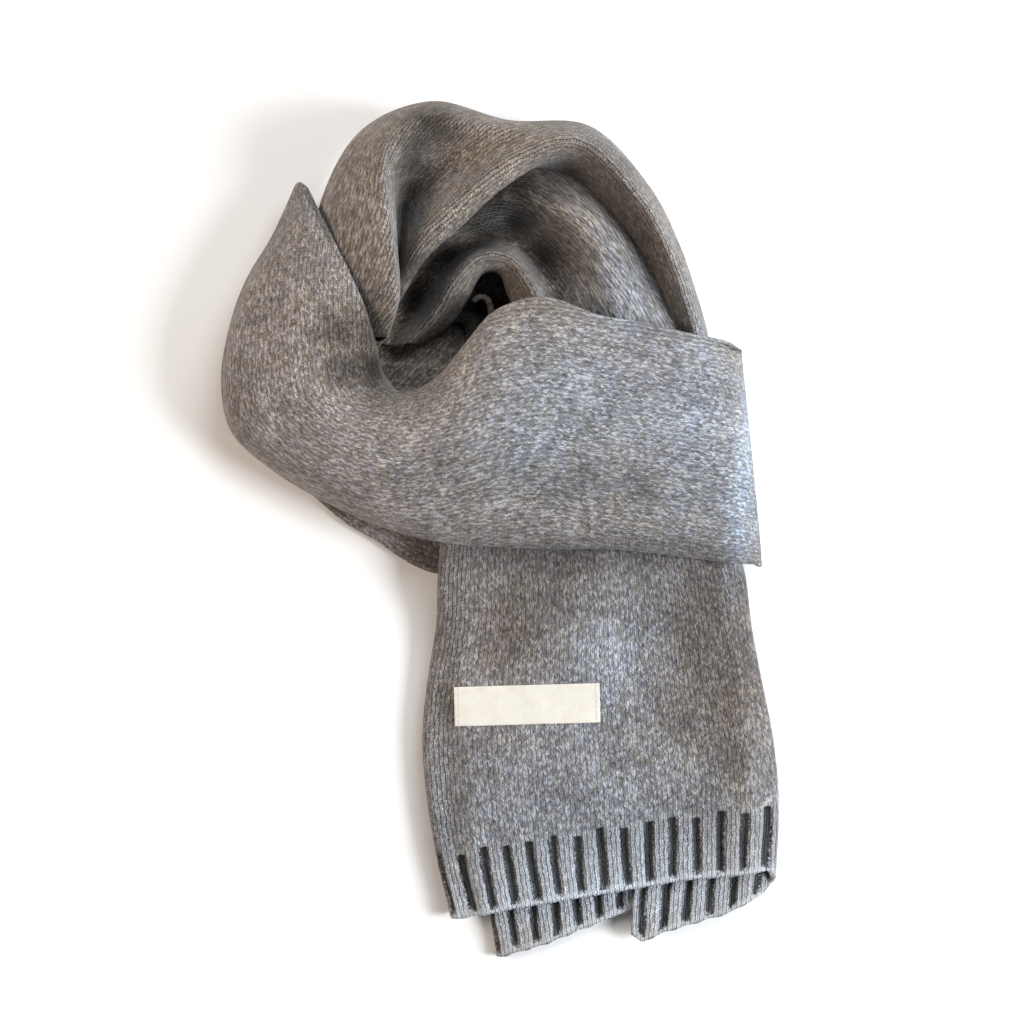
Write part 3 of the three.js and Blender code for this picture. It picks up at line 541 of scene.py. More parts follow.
def wound_stretch(name, sections, counts, creases, reference, folds, shadow, material, rests_on):
    """Lofted stretch of the scarf, with its creases raised and sunk above where it meets the table.
    reference is the share across at which lengths along are measured. folds are the shares across where it
    is folded sharply, with strength and reach, and count as strength * exp(-(distance / reach)^4). shadow
    is the shares between which it turns into the dark, and how dark it gets."""
    rim_along, rim_across, lowest_crease = 0.006, 0.012, 8
    shares_along, shares_across = edged(counts[0], rim_along), edged(counts[1], rim_across)
    grid = loft(sections, shares_along, shares_across)
    creased = relief(creases, grid[..., 0], grid[..., 1])
    grid[..., 2] += np.where(grid[..., 2] > lowest_crease, creased, 0)
    rims = np.minimum(rounded(shares_along, rim_along)[:, None], rounded(shares_across, rim_across)[None])
    column = int(np.argmin(np.abs(shares_across - reference)))
    knit = knit_places(grid, column)
    folded = np.zeros(grid.shape[:2])
    for share, strength, reach in folds:
        at = np.interp(share, shares_across, np.arange(len(shares_across)))
        place = knit[:, int(at), 0][:, None]
        folded = np.maximum(folded, strength * np.exp(-(((knit[..., 0] - place) / reach) ** 4)))
    # Painted shadow across the side that turns into the dark
    start, end, darkest = shadow
    turned = darkest * smooth((shares_across - start) / (end - start))
    marks = np.stack(np.broadcast_arrays(*PLAIN[:2], folded, turned), axis=-1)
    piece = shell(name + "_knit", grid, rims, knit, material, marks=marks)
    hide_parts(name)
    return piece


# The two tails with their ribbed ends
def table_at(table, column, y):
    """Value of a column at places y, on the curve through the table's rows."""
    rows = np.array(table, float)
    last = len(rows) - 1
    at = np.clip(np.searchsorted(-rows[:, 0], -y), 1, last)
    share = (rows[at - 1, 0] - y) / (rows[at - 1, 0] - rows[at, 0])
    place = np.clip((at - 1 + share) / last, 0, 1)
    return through(rows[:, [column, 0]], place.ravel())[:, 0].reshape(np.shape(y))


def line_at(line, x):
    """Height of a broken line at places x."""
    xs, ys = np.array(line, float).T
    return np.interp(x, xs, ys)


# Parts of a tail's section, in their order
UNDER_LEFT, LEFT_FOLD, TOP, RIGHT_FOLD, UNDER_RIGHT = range(5)


class Tail:
    """Folded tail: its section runs from the layer turned under at the left, round the left fold, over the
    top, round the right fold and back under. distance is the place across in mm, part and t the part of
    the section and the share of it, and probe the plan x at probe_y, where the hem is looked up."""

    def __init__(self, table, fold, turn_under, probe_y, shares):
        self.table, self.fold, self.turn_under = table, fold, turn_under
        left, right = (float(table_at(table, k, np.array([WIDTH_Y]))[0]) for k in (1, 2))
        spans = [turn_under[0], np.pi * fold, right - left - 2 * fold, np.pi * fold, turn_under[1]]
        ends = np.cumsum([0, *spans])
        self.distance = shares * ends[-1]
        self.part = np.clip(np.searchsorted(ends, self.distance, side="right") - 1, 0, 4)
        self.t = (self.distance - ends[self.part]) / np.array(spans)[self.part]
        self.probe = self.point(np.full(len(shares), probe_y))[:, 0]

    def point(self, y):
        """Point of the outer side at each place across and at y: flat parts are straight, folds half
        circles."""
        left, right, lies = (table_at(self.table, k, y) for k in (1, 2, 3))
        lies = np.maximum(lies, 0)
        fold, t = self.fold, np.broadcast_to(self.t, y.shape)
        turn = np.pi * np.where(self.part == LEFT_FOLD, t, 1 - t)
        round_z = lies + fold * (1 - np.cos(turn))
        choices = [
            (left + fold + self.turn_under[0] * (1 - t), lies),
            (left + fold - fold * np.sin(turn), round_z),
            (mix(left + fold, right - fold, t), lies + 2 * fold),
            (right - fold + fold * np.sin(turn), round_z),
            (right - fold - self.turn_under[1] * t, lies),
        ]
        parts = [np.broadcast_to(self.part == k, y.shape) for k in range(5)]
        x, z = (np.select(parts, [choice[k] for choice in choices]) for k in (0, 1))
        return np.stack([x, y, z], axis=-1)


def front_hem(tail):
    """Hem of the front tail: one line on top, another on the layer turned under, mixed round the right
    fold."""
    fold_x = table_at(FRONT_TAIL, 2, np.array([WIDTH_Y]))[0] - FRONT_FOLD
    round_fold = mix(line_at(FRONT_HEM, fold_x), line_at(FRONT_UNDER_HEM, fold_x), tail.t)
    above, under = line_at(FRONT_HEM, tail.probe), line_at(FRONT_UNDER_HEM, tail.probe)
    return np.select([tail.part == UNDER_RIGHT, tail.part == RIGHT_FOLD], [under, round_fold], above)


def back_hem(tail):
    """Hem of the back tail: one line for all its layers."""
    return line_at(BACK_HEM, tail.probe)


def settle_front(tail, points):
    """The front tail sags beyond the sides of the back one, by a smooth step across each side and another
    down from the band, and its top has creases, which fade towards the folds as the root of a sine."""
    deepest, inside, reach, sag_start, sag_length = 5.6, 2, 16, -16, 40
    x, y = points[..., 0], points[..., 1]
    left, right = table_at(BACK_TAIL, 1, y), table_at(BACK_TAIL, 2, y)
    overhang = np.maximum(smooth((left + inside - x) / reach), smooth((x - right + inside) / reach))
    sag = deepest * overhang * smooth((sag_start - y) / sag_length)
    on_top = np.where(tail.part == TOP, np.sqrt(np.abs(np.sin(np.pi * tail.t))), 0)
    points[..., 2] += relief(TAIL_CREASES, x, y) * on_top - sag
    return points


def settle_back(tail, points):
    """The back tail lies as its table says."""
    return points


def ribs(tail, up):
    """Height over the plain cloth, and distance into a furrow, at distances up from the hem. A furrow is a
    flat-bottomed trough that wanders as a sine, with its own width and upper end, and comes to a point
    below: the distance into it is the least of those from its side, its upper end and its slanting lower
    end. Between two furrows the rib is crowned as half a cosine. How uneven a rib is comes from two sines
    of its number."""
    sway_reach, sway_length, top_reach = 0.3, 6.5, 1.3
    uneven_width, uneven_depth, uneven_foot = 0.14, 0.12, 0.5
    lowest_foot, point_slant = CAST_OFF - 1.0, 0.33
    fade_start, fade_length, wall_start, wall_width = 0.5, 3.0, 0.45, 1.1
    rib = np.floor(tail.distance / RIB_PITCH)
    uneven = 0.5 * np.sin(rib * 2.399) + 0.5 * np.sin(rib * 5.13 + 1)
    sway = sway_reach * np.sin(up / sway_length + rib * 1.7)
    off = np.abs(np.mod(tail.distance, RIB_PITCH) + sway - RIB_FURROW / 2)
    off = np.minimum(off, RIB_PITCH - off)
    side = RIB_FURROW / 2 * (1 + uneven_width * uneven) - off
    upper_end = RIB_LENGTH + top_reach * np.sin(rib * 3.7)
    lower_end = lowest_foot - uneven_foot * uneven
    inside = np.minimum(np.minimum(side, upper_end - up), (up - lower_end) * point_slant)
    crown = 0.5 - 0.5 * np.cos(np.pi * np.clip(-side / (RIB_PITCH / 2 - RIB_FURROW / 2), 0, 1))
    ribbed = smooth((upper_end - up) / fade_length) * smooth((up - fade_start) / fade_length)
    depth = RIB_DEPTH * (1 + uneven_depth * uneven)
    height = ribbed * RIB_CROWN * crown - depth * smooth((inside + wall_start) / wall_width)
    return height, inside


def tail_piece(name, table, fold, turn_under, probe_y, hem_of, settle, columns, material):
    """One surface from the hidden upper end of a tail to its cast-off edge. Its rows are even distances up
    from the hem, closer at the hem, where the edge is scalloped as a cosine from rib to rib and has a low
    bead."""
    rim, row_step, rows_above, edge_round = 0.005, 0.8, 44, 1.5
    edge_rows = [0, 0.1, 0.4, 0.9, 1.5, 2.2, 3.0]
    scallop_reach, scallop_fade = 0.45, 8
    bead_height, bead_middle, bead_width = 0.22, 1.3, 1.0
    raised_share, sunk_share = 0.35, 0.45
    past_fold, fold_reach, fold_strength, fold_fade, highest_mark = 4, 8, 0.8, 6, 60
    shares = edged(columns, rim)
    tail = Tail(table, fold, turn_under, probe_y, shares)
    hem = hem_of(tail)
    low = np.concatenate([edge_rows, np.arange(CAST_OFF, RIB_LENGTH + 4, row_step)])
    high = np.linspace(0, 1, rows_above)[1:]
    scallop = scallop_reach * np.cos(2 * np.pi * (tail.distance - RIB_FURROW / 2) / RIB_PITCH)
    at_hem = hem + low[:, None] + scallop * (1 - smooth(low / scallop_fade))[:, None]
    y = np.concatenate([at_hem, mix(hem + low[-1], TAIL_TOP, high[:, None])])[::-1]
    up = y - hem
    grid = settle(tail, tail.point(y))

    # The layer turned under at the right looks up at us with its inner side, so its ribs are raised there.
    # The side that looks away takes a share of them
    height, inside = ribs(tail, up)
    bead = bead_height * np.exp(-(((up - bead_middle) / bead_width) ** 2))
    looks_up = tail.part == UNDER_RIGHT
    lift = np.where(looks_up, raised_share * height.clip(0), height) + bead
    lift_inside = np.where(looks_up, height, -sunk_share * np.minimum(height, 0)) + bead * looks_up
    edge = np.clip(np.minimum(up, TAIL_TOP - y) / edge_round, 0, 1)
    rims = np.minimum(np.sqrt(1 - (1 - edge) ** 2), rounded(shares, rim)[None])

    knit = np.stack(np.broadcast_arrays(tail.distance, up), axis=-1)
    from_fold = (tail.distance - tail.turn_under[0] - np.pi * fold - past_fold) / fold_reach
    folded = fold_strength * np.exp(-(from_fold**4)) * smooth((up - RIB_LENGTH) / fold_fade)
    marks = np.stack(np.broadcast_arrays(inside, np.clip(up, 0, highest_mark), folded, 0.0), axis=-1)
    piece = shell(name + "_knit", grid, rims, knit, material, lift=lift, lift_inside=lift_inside, marks=marks)
    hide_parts(name, name.replace("tail", "ribs"))
    return piece


# Label, sewn on the front tail
def label_base(x, y):
    """Height of the front tail's top at plan places: what it lies on, its two layers and its creases."""
    lies = np.maximum(table_at(FRONT_TAIL, 3, y), 0)
    left, right = table_at(FRONT_TAIL, 1, y) + FRONT_FOLD, table_at(FRONT_TAIL, 2, y) - FRONT_FOLD
    on_top = np.sqrt(np.abs(np.sin(np.pi * (x - left) / (right - left))))
    return lies + 2 * FRONT_FOLD + relief(TAIL_CREASES, x, y) * on_top


def label_piece(material):
    """Strip of satin that lies on the front tail's top, a little above it, with wrinkles as products of
    sines."""
    turn = np.radians(LABEL_TURN)
    rim_along, rim_across = 0.03, 0.008
    down, over = edged(24, rim_along), edged(80, rim_across)
    a = LABEL_LENGTH * (over[None] - 0.5)
    b = LABEL_WIDTH * (0.5 - down[:, None])
    x = LABEL_MIDDLE[0] + a * np.cos(turn) - b * np.sin(turn)
    y = LABEL_MIDDLE[1] + a * np.sin(turn) + b * np.cos(turn)
    wrinkles = 0.16 * np.sin(a / 6.1 + 0.7) * np.sin(b / 6.0 + 0.4) + 0.1 * np.sin(a / 2.9 + b / 5.0)
    grid = np.stack([x, y, label_base(x, y) + LABEL_GAP + LABEL_THICKNESS + wrinkles], axis=-1)
    rims = np.minimum(rounded(down, rim_along)[:, None], rounded(over, rim_across)[None])
    knit = np.stack(np.broadcast_arrays(a, b), axis=-1)
    piece = shell("label_satin", grid, rims, knit, material, thickness=LABEL_THICKNESS)
    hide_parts("label")
    return piece


# Layers that nothing shows, and the small edge inside the hollow
def at_height(plan, z):
    """Plan points at one height, or at a height each."""
    return np.concatenate([plan, np.broadcast_to(z, len(plan))[:, None]], axis=1)


def layers_rings():
    """Rings of the hidden layers about the hollow's middle, and how many of them lie under the layered
    edge and on it: from the middle of the underside straight out to the edge, round the edge, straight in
    over the top, down the hollow's wall and straight in to the middle of its floor."""
    under_rings, top_rings, floor_rings = 26, 40, 9
    upper_z, upper_rise, edge_reach, edge_fade = 2.6, 1.5, 12, 6
    ripple_height, ripple_z, ripple_rise = 0.35, 2.2, 2
    outline = closed_through(UNDER_SIDE, 26)
    offset = outline - HOLLOW_MIDDLE
    angles = np.arctan2(offset[:, 1], offset[:, 0])
    run = np.roll(outline, -1, axis=0) - np.roll(outline, 1, axis=0)
    inward = unit(np.stack([-run[:, 1], run[:, 0]], axis=-1))
    rim = round_centre(closed_through(HOLLOW, 30), HOLLOW_MIDDLE, angles)
    spoke = unit(offset)
    middle = HOLLOW_MIDDLE + 0 * outline
    along = np.concatenate([[0], np.cumsum(np.linalg.norm(np.diff(outline, axis=0), axis=1))])

    # The upper layer's edge goes in and out by two sines
    uneven = 0.25 * np.sin(along / 9.0) + 0.2 * np.sin(along / 4.3 + 1)
    edge = []
    for inset, z in LAYER_EDGE:
        upper = smooth((z - upper_z) / upper_rise) * smooth((edge_reach - inset) / edge_fade)
        edge.append(at_height(outline + inward * (inset + uneven * upper)[:, None], z))
    wall = [at_height(HOLLOW_MIDDLE + spoke * (rim + out)[:, None], z) for out, z in HOLLOW_EDGE]
    table, floor = at_height(middle, 0.0), at_height(middle, HOLLOW_FLOOR)
    under = [mix(table, edge[0], share) for share in np.linspace(0.01, 1, under_rings)[:-1]]
    top = [mix(edge[-1], wall[0], share) for share in np.linspace(0, 1, top_rings)[1:-1]]
    inner = [mix(wall[-1], floor, share) for share in np.linspace(0, 0.98, floor_rings)[1:]]
    rings = np.array([*under, *edge, *top, *wall, *inner])

    # The upper side is rippled by a product of sines
    x, y = rings[..., 0], rings[..., 1]
    ripple = ripple_height * np.sin(x / 5.1 + 0.6 * np.sin(y / 6)) * np.sin(y / 7.3)
    rings[..., 2] += ripple * smooth((rings[..., 2] - ripple_z) / ripple_rise)
    return rings, along, len(under), len(edge)


def hidden_layers_piece(material):
    """Closed form through the layers' rings. Its knitting runs round it at the edge and slantwise
    elsewhere."""
    slant, rings_before_edge, rings_past_edge = 0.7, 6, 12
    rings, along, under, edge = layers_rings()
    count, size = rings.shape[:2]
    index = np.arange(count * size).reshape(count, size)
    following = np.roll(index, -1, axis=1)
    faces = np.stack([index[:-1], following[:-1], following[1:], index[1:]], axis=-1).reshape(-1, 4).tolist()
    faces += [index[0][::-1].tolist(), index[-1].tolist()]

    x, y = slant * rings[..., 0], slant * rings[..., 1]
    slant_knit = np.stack([x - y, x + y], axis=-1)
    across = np.concatenate([[0], np.cumsum(np.linalg.norm(np.diff(rings[:, 0], axis=0), axis=1))])
    ring_knit = np.stack(np.broadcast_arrays(across[:, None], along[None]), axis=-1)
    first, last = under - rings_before_edge, under + edge + rings_past_edge
    on_edge = ((np.arange(count) >= first) & (np.arange(count) < last))[:, None, None]
    # Painted shade of the deep places
    dark = deep(rings)
    maps = {
        "Knit": np.where(on_edge, ring_knit, slant_knit).reshape(-1, 2),
        "Ribs": np.broadcast_to(PLAIN[:2], (count * size, 2)),
        "Shade": np.stack([0 * dark, dark], axis=-1).reshape(-1, 2),
    }
    piece = mesh_piece("hidden_layers_knit", rings.reshape(-1, 3), faces, material, maps)
    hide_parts("hidden_layers")
    return piece


def centre_curl_piece(material):
    """Small standing edge of an under layer: a curve in plan, carried up with a lean that grows as the
    square of the height, and a top that drops at both ends as the cube of the distance from its middle."""
    count, rim_up, rim_along, lean_share, end_drop = 40, 0.08, 0.06, 0.9, 1.5
    along = np.linspace(0, 1, count)
    plan = through(np.array(CURL, float), along)
    up = edged(14, rim_up)
    lean = lean_share * up**2
    grid = np.zeros((len(up), count, 3))
    grid[..., 0] = plan[None, :, 0] + lean[:, None]
    grid[..., 1] = plan[None, :, 1] - lean[:, None]
    drop = end_drop * np.abs(2 * along - 1) ** 3
    grid[..., 2] = CURL_FOOT + CURL_HEIGHT * up[:, None] - drop[None]
    rims = np.minimum(rounded(up, rim_up)[:, None], rounded(along, rim_along)[None])
    piece = shell("centre_curl_knit", grid, rims, knit_places(grid, 0), material, thickness=CURL_THICKNESS)
    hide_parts("centre_curl")
    return piece


# Node helpers
def add(tree, kind, inputs=(), **settings):
    """Adds a node, sets its settings, and sets or links its inputs, given as (name or number, value)
    pairs."""
    made = tree.nodes.new(kind)
    for name, value in settings.items():
        setattr(made, name, value)
    for name, value in inputs:
        if isinstance(value, bpy.types.NodeSocket):
            tree.links.new(value, made.inputs[name])
        else:
            made.inputs[name].default_value = value
    return made


def calc(tree, operation, *values):
    """Output of a math node on the values."""
    made = add(tree, "ShaderNodeMath", list(enumerate(values)), operation=operation)
    return made.outputs[0]


def ramp(tree, value, low, high, to_low=0.0, to_high=1.0):
    """Smooth step from to_low at low to to_high at high."""
    names = ("Value", "From Min", "From Max", "To Min", "To Max")
    inputs = list(zip(names, (value, low, high, to_low, to_high)))
    return add(tree, "ShaderNodeMapRange", inputs, interpolation_type="SMOOTHSTEP").outputs[0]


def blend(tree, factor, a, b, mode="MIX"):
    """Colour a mixed with b, or multiplied by it, by the factor."""
    made = add(tree, "ShaderNodeMix", [(0, factor), (6, a), (7, b)], data_type="RGBA", blend_type=mode)
    return made.outputs[2]


def noise(tree, vector, scale, detail=2.0, roughness=0.6):
    """Output of a noise texture at the vector's places."""
    names = ("Vector", "Scale", "Detail", "Roughness")
    return add(tree, "ShaderNodeTexNoise", list(zip(names, (vector, scale, detail, roughness)))).outputs[0]


def new_group(name, inputs, outputs):
    """Node group with its input and output nodes, from (name, kind, value) inputs and (name, kind)
    outputs."""
    group = bpy.data.node_groups.new(name, "ShaderNodeTree")
    for socket_name, kind, value in inputs:
        socket = group.interface.new_socket(name=socket_name, in_out="INPUT", socket_type=kind)
        if value is not None:
            socket.default_value = value
    for socket_name, kind in outputs:
        group.interface.new_socket(name=socket_name, in_out="OUTPUT", socket_type=kind)
    return group, add(group, "NodeGroupInput"), add(group, "NodeGroupOutput")


def plane_place(tree, x, y):
    """Vector of two values."""
    return add(tree, "ShaderNodeCombineXYZ", [(0, x), (1, y)]).outputs[0]


def wander(tree, place, scale, reach):
    """Noise about 0 that reaches half the reach to both sides."""
    return calc(tree, "MULTIPLY", calc(tree, "SUBTRACT", noise(tree, place, scale), 0.5), reach)


def stitch_group():
    """Height of plain knitting: in each wale two legs of yarn lean away from its middle, course after
    course. A leg is the sine of the share of the half wale, cut off by its fourth power, and rises and
    falls as a cosine along it. Groove is high between the wales and at the heart of each stitch. The wales
    wander a little, and Leg is a tone of its own for each leg of each stitch."""
    group, given, out = new_group(
        "plain_knitting",
        [("Across", "NodeSocketFloat", 0.0), ("Along", "NodeSocketFloat", 0.0)],
        [("Height", "NodeSocketFloat"), ("Groove", "NodeSocketFloat"), ("Leg", "NodeSocketFloat")],
    )
    across, along = given.outputs["Across"], given.outputs["Along"]
    place = plane_place(group, across, along)
    across = calc(group, "ADD", wander(group, place, 0.22, 2.4), across)
    along = calc(group, "ADD", wander(group, place, 0.31, 2.0), along)
    wales = calc(group, "DIVIDE", across, WALE)
    wale = calc(group, "SUBTRACT", calc(group, "FRACT", wales), 0.5)
    side = calc(group, "MULTIPLY", calc(group, "ABSOLUTE", wale), 2.0)
    phase = calc(group, "SUBTRACT", calc(group, "DIVIDE", along, COURSE), calc(group, "MULTIPLY", side, 0.9))
    loop = calc(group, "COSINE", calc(group, "MULTIPLY", phase, 2 * np.pi))
    leg = calc(group, "SINE", calc(group, "MULTIPLY", side, np.pi))
    between = calc(group, "SUBTRACT", 1.0, calc(group, "POWER", side, 4.0))
    body = calc(group, "MULTIPLY", between, calc(group, "MULTIPLY_ADD", leg, 0.5, 0.5))
    height = calc(group, "MULTIPLY", body, calc(group, "MULTIPLY_ADD", loop, 0.3, 0.7))
    gap = calc(group, "MULTIPLY", ramp(group, side, 0.48, 0.86), calc(group, "MULTIPLY_ADD", loop, 0.3, 0.7))
    between_loops = calc(group, "MULTIPLY_ADD", loop, -0.3, 0.3)
    heart = calc(group, "MULTIPLY", ramp(group, side, 0.26, 0.0), between_loops)
    groove = calc(group, "ADD", gap, heart)
    half = calc(group, "FLOOR", calc(group, "MULTIPLY", wales, 2.0))
    cell = plane_place(group, half, calc(group, "FLOOR", phase))
    tone = add(group, "ShaderNodeTexWhiteNoise", [("Vector", cell)], noise_dimensions="2D").outputs[0]
    group.links.new(height, out.inputs["Height"])
    group.links.new(groove, out.inputs["Groove"])
    group.links.new(tone, out.inputs["Leg"])
    return group


def marl_group():
    """Heather yarn: light and dark fibres in short strokes that lean both ways along the wales, soft
    blotches of warmer and cooler wool, and stray bright hairs. The tone is a sum of noises, each drawn out
    along the wales by its own lengths, and two ramps turn it from dark to middle and from middle to
    light."""
    group, given, out = new_group(
        "heather_yarn",
        [
            ("Across", "NodeSocketFloat", 0.0),
            ("Along", "NodeSocketFloat", 0.0),
            ("Leg", "NodeSocketFloat", 0.5),
            ("Dark", "NodeSocketColor", None),
            ("Middle", "NodeSocketColor", None),
            ("Light", "NodeSocketColor", None),
        ],
        [("Color", "NodeSocketColor"), ("Fibre", "NodeSocketFloat")],
    )
    across, along = given.outputs["Across"], given.outputs["Along"]

    def place(per_mm_across, per_mm_along, slant=0.0):
        x = calc(group, "MULTIPLY_ADD", along, slant, calc(group, "MULTIPLY", across, per_mm_across))
        return plane_place(group, x, calc(group, "MULTIPLY", along, per_mm_along))

    right = noise(group, place(1.0, 0.4, 0.4), 1.0, 2.0, 0.65)
    left = noise(group, place(1.0, 0.4, -0.4), 1.2, 2.0, 0.65)
    fine = noise(group, place(2.4, 1.3), 1.0)
    patch = noise(group, place(0.3, 0.22), 1.0)
    blotch = noise(group, place(0.05, 0.045), 1.0, 2.0, 0.5)
    hairs = noise(group, place(3.0, 0.45, 0.9), 1.0, 1.0, 0.5)
    tone = calc(group, "MULTIPLY", right, 0.8)
    more = [(left, 0.8), (fine, 0.6), (patch, 0.7), (blotch, 0.5), (given.outputs["Leg"], 0.45)]
    for layer, weight in more:
        tone = calc(group, "MULTIPLY_ADD", layer, weight, tone)
    color = blend(group, ramp(group, tone, 1.42, 1.86), given.outputs["Dark"], given.outputs["Middle"])
    color = blend(group, ramp(group, tone, 1.8, 2.4), color, given.outputs["Light"])
    color = blend(group, ramp(group, hairs, 0.66, 0.76, 0.0, 0.4), color, given.outputs["Light"])
    cool = ramp(group, noise(group, place(0.11, 0.09), 1.7), 0.38, 0.62)
    color = blend(group, 1.0, color, blend(group, cool, WARM_BLOTCH, COOL_BLOTCH), "MULTIPLY")
    group.links.new(color, out.inputs["Color"])
    group.links.new(calc(group, "ADD", fine, calc(group, "MULTIPLY", hairs, 0.5)), out.inputs["Fibre"])
    return group


GROUPS = {"knitting": stitch_group(), "yarn": marl_group()}


def principled(name, settings):
    """New material, its node tree and its shader, with plain values on the shader's sockets."""
    material = bpy.data.materials.new(name)
    material.use_nodes = True
    shader = material.node_tree.nodes["Principled BSDF"]
    for socket, value in settings.items():
        shader.inputs[socket].default_value = value
    return material, material.node_tree, shader


def map_places(tree, name):
    """Both values of one of the piece's maps."""
    split = add(tree, "ShaderNodeSeparateXYZ", [(0, add(tree, "ShaderNodeUVMap", uv_map=name).outputs[0])])
    return split.outputs[0], split.outputs[1]


def wool_material():
    """Fuzzy heather wool: yarn colours, lighter on ribs and sharp folds, multiplied by a painted shade
    between the stitches and in the furrows of the ribs, lighter on the cast-off edge, then multiplied by the
    painted light and shade of the broad areas, cool where light falls and warm where shade falls, and by the
    painted shade of deep places."""
    material, tree, shader = principled(
        "heather_wool", {"Sheen Weight": 0.22, "Sheen Roughness": 0.45, "Specular IOR Level": 0.1}
    )
    across, along = map_places(tree, "Knit")
    inside, up = map_places(tree, "Ribs")
    fold, depth = map_places(tree, "Shade")
    painted_light_share, painted_cool_share = map_places(tree, "PaintedLight")
    knitting = add(tree, "ShaderNodeGroup", node_tree=GROUPS["knitting"])
    yarn = add(tree, "ShaderNodeGroup", [("Leg", knitting.outputs["Leg"])], node_tree=GROUPS["yarn"])
    for made in (knitting, yarn):
        tree.links.new(across, made.inputs["Across"])
        tree.links.new(along, made.inputs["Along"])
    for socket, color in (("Dark", DARK_YARN), ("Middle", MIDDLE_YARN), ("Light", LIGHT_YARN)):
        yarn.inputs[socket].default_value = color

    # Stitches, which open where the cloth is stretched over ribs and folds, with painted shade in the grooves
    # between them; ribs and folds are also lighter
    on_rib = calc(tree, "MULTIPLY", ramp(tree, inside, -6.0, -1.0), ramp(tree, up, 33.0, 30.0))
    stretched = calc(tree, "MAXIMUM", fold, on_rib)
    opened = calc(tree, "MULTIPLY_ADD", stretched, 0.6, 0.55)
    groove = calc(tree, "MULTIPLY", knitting.outputs["Groove"], opened)
    color = blend(tree, calc(tree, "MULTIPLY", fold, 0.16), yarn.outputs["Color"], LIGHT_YARN)
    color = blend(tree, calc(tree, "MULTIPLY", on_rib, 0.45), color, LIGHT_YARN)
    color = blend(tree, groove, color, GROOVE_SHADE, "MULTIPLY")

    # Painted shade in the furrows, which have a wandering border, and the lighter cast-off edge
    border = calc(tree, "ADD", inside, wander(tree, plane_place(tree, across, along), 0.55, 2.4))
    furrow = ramp(tree, border, -0.35, 0.35)
    color = blend(tree, calc(tree, "MULTIPLY", furrow, 0.93), color, FURROW_SHADE, "MULTIPLY")
    on_tail = ramp(tree, inside, NO_FURROW + 1, NO_FURROW + 2)
    edge = calc(tree, "MULTIPLY", ramp(tree, up, 5.0, 2.5), ramp(tree, up, 0.4, 1.4))
    edge = calc(tree, "MULTIPLY", calc(tree, "MULTIPLY", edge, on_tail), calc(tree, "SUBTRACT", 1.0, furrow))
    color = blend(tree, calc(tree, "MULTIPLY", edge, 0.35), color, LIGHT_YARN)

    # Painted light and shade of broad areas, cool where light falls and warm where shade falls, and painted
    # shade of deep places
    painted_lightness = blend(tree, ramp(tree, painted_light_share, -1.0, 1.0), PAINTED_SHADE_END, PAINTED_LIGHT_END)
    painted_light_cast = blend(tree, ramp(tree, painted_cool_share, -1.0, 1.0), WARM_SHADE_CAST, COOL_LIGHT_CAST)
    color = blend(tree, 1.0, blend(tree, 1.0, color, painted_lightness, "MULTIPLY"), painted_light_cast, "MULTIPLY")
    color = blend(tree, depth, color, DEEP_SHADE, "MULTIPLY")
    tree.links.new(color, shader.inputs["Base Color"])
    tree.links.new(ramp(tree, yarn.outputs["Fibre"], 0.3, 1.1, 0.98, 0.82), shader.inputs["Roughness"])
    raised = calc(tree, "MULTIPLY_ADD", stretched, 0.6, 0.8)
    stitches = calc(tree, "MULTIPLY", knitting.outputs["Height"], raised)
    height = calc(tree, "MULTIPLY_ADD", yarn.outputs["Fibre"], 0.6, stitches)
    bump = add(tree, "ShaderNodeBump", [("Height", height), ("Distance", 0.0006), ("Strength", 0.9)])
    tree.links.new(bump.outputs[0], shader.inputs["Normal"])
    return material


def satin_material():
    """Cream woven satin: fine warp lines across the label as sines, a soft uneven tone, and a dashed seam
    at a set distance from both ends."""
    material, tree, shader = principled("cream_satin", {"Specular IOR Level": 0.4, "Sheen Weight": 0.15})
    weft_pitch, warp_pitch, dash_pitch = 0.5, 0.42, 2.6
    a, b = map_places(tree, "Knit")
    weft = calc(tree, "SINE", calc(tree, "MULTIPLY", a, 2 * np.pi / weft_pitch))
    warp = calc(tree, "SINE", calc(tree, "MULTIPLY", b, 2 * np.pi / warp_pitch))
    cloud = noise(tree, plane_place(tree, a, b), 0.18)
    color = blend(tree, cloud, DULL_SATIN, BRIGHT_SATIN)
    thread = calc(tree, "MULTIPLY_ADD", weft, 0.3, warp)
    color = blend(tree, ramp(tree, thread, -1.2, 1.2, 0.12, 0.0), color, WARP_SHADE)
    from_end = calc(tree, "SUBTRACT", LABEL_LENGTH / 2, calc(tree, "ABSOLUTE", a))
    seam = calc(tree, "MULTIPLY", ramp(tree, from_end, 1.3, 1.8), ramp(tree, from_end, 2.5, 2.0))
    dashes = ramp(tree, calc(tree, "SINE", calc(tree, "MULTIPLY", b, 2 * np.pi / dash_pitch)), -1.2, 0.0)
    seam = calc(tree, "MULTIPLY", seam, dashes)
    color = blend(tree, calc(tree, "MULTIPLY", seam, 0.4), color, SEAM_SHADE)
    tree.links.new(color, shader.inputs["Base Color"])
    tree.links.new(ramp(tree, cloud, 0.3, 0.7, 0.42, 0.55), shader.inputs["Roughness"])
    bump = add(tree, "ShaderNodeBump", [("Height", thread), ("Distance", 0.00006), ("Strength", 0.6)])
    tree.links.new(bump.outputs[0], shader.inputs["Normal"])
    return material


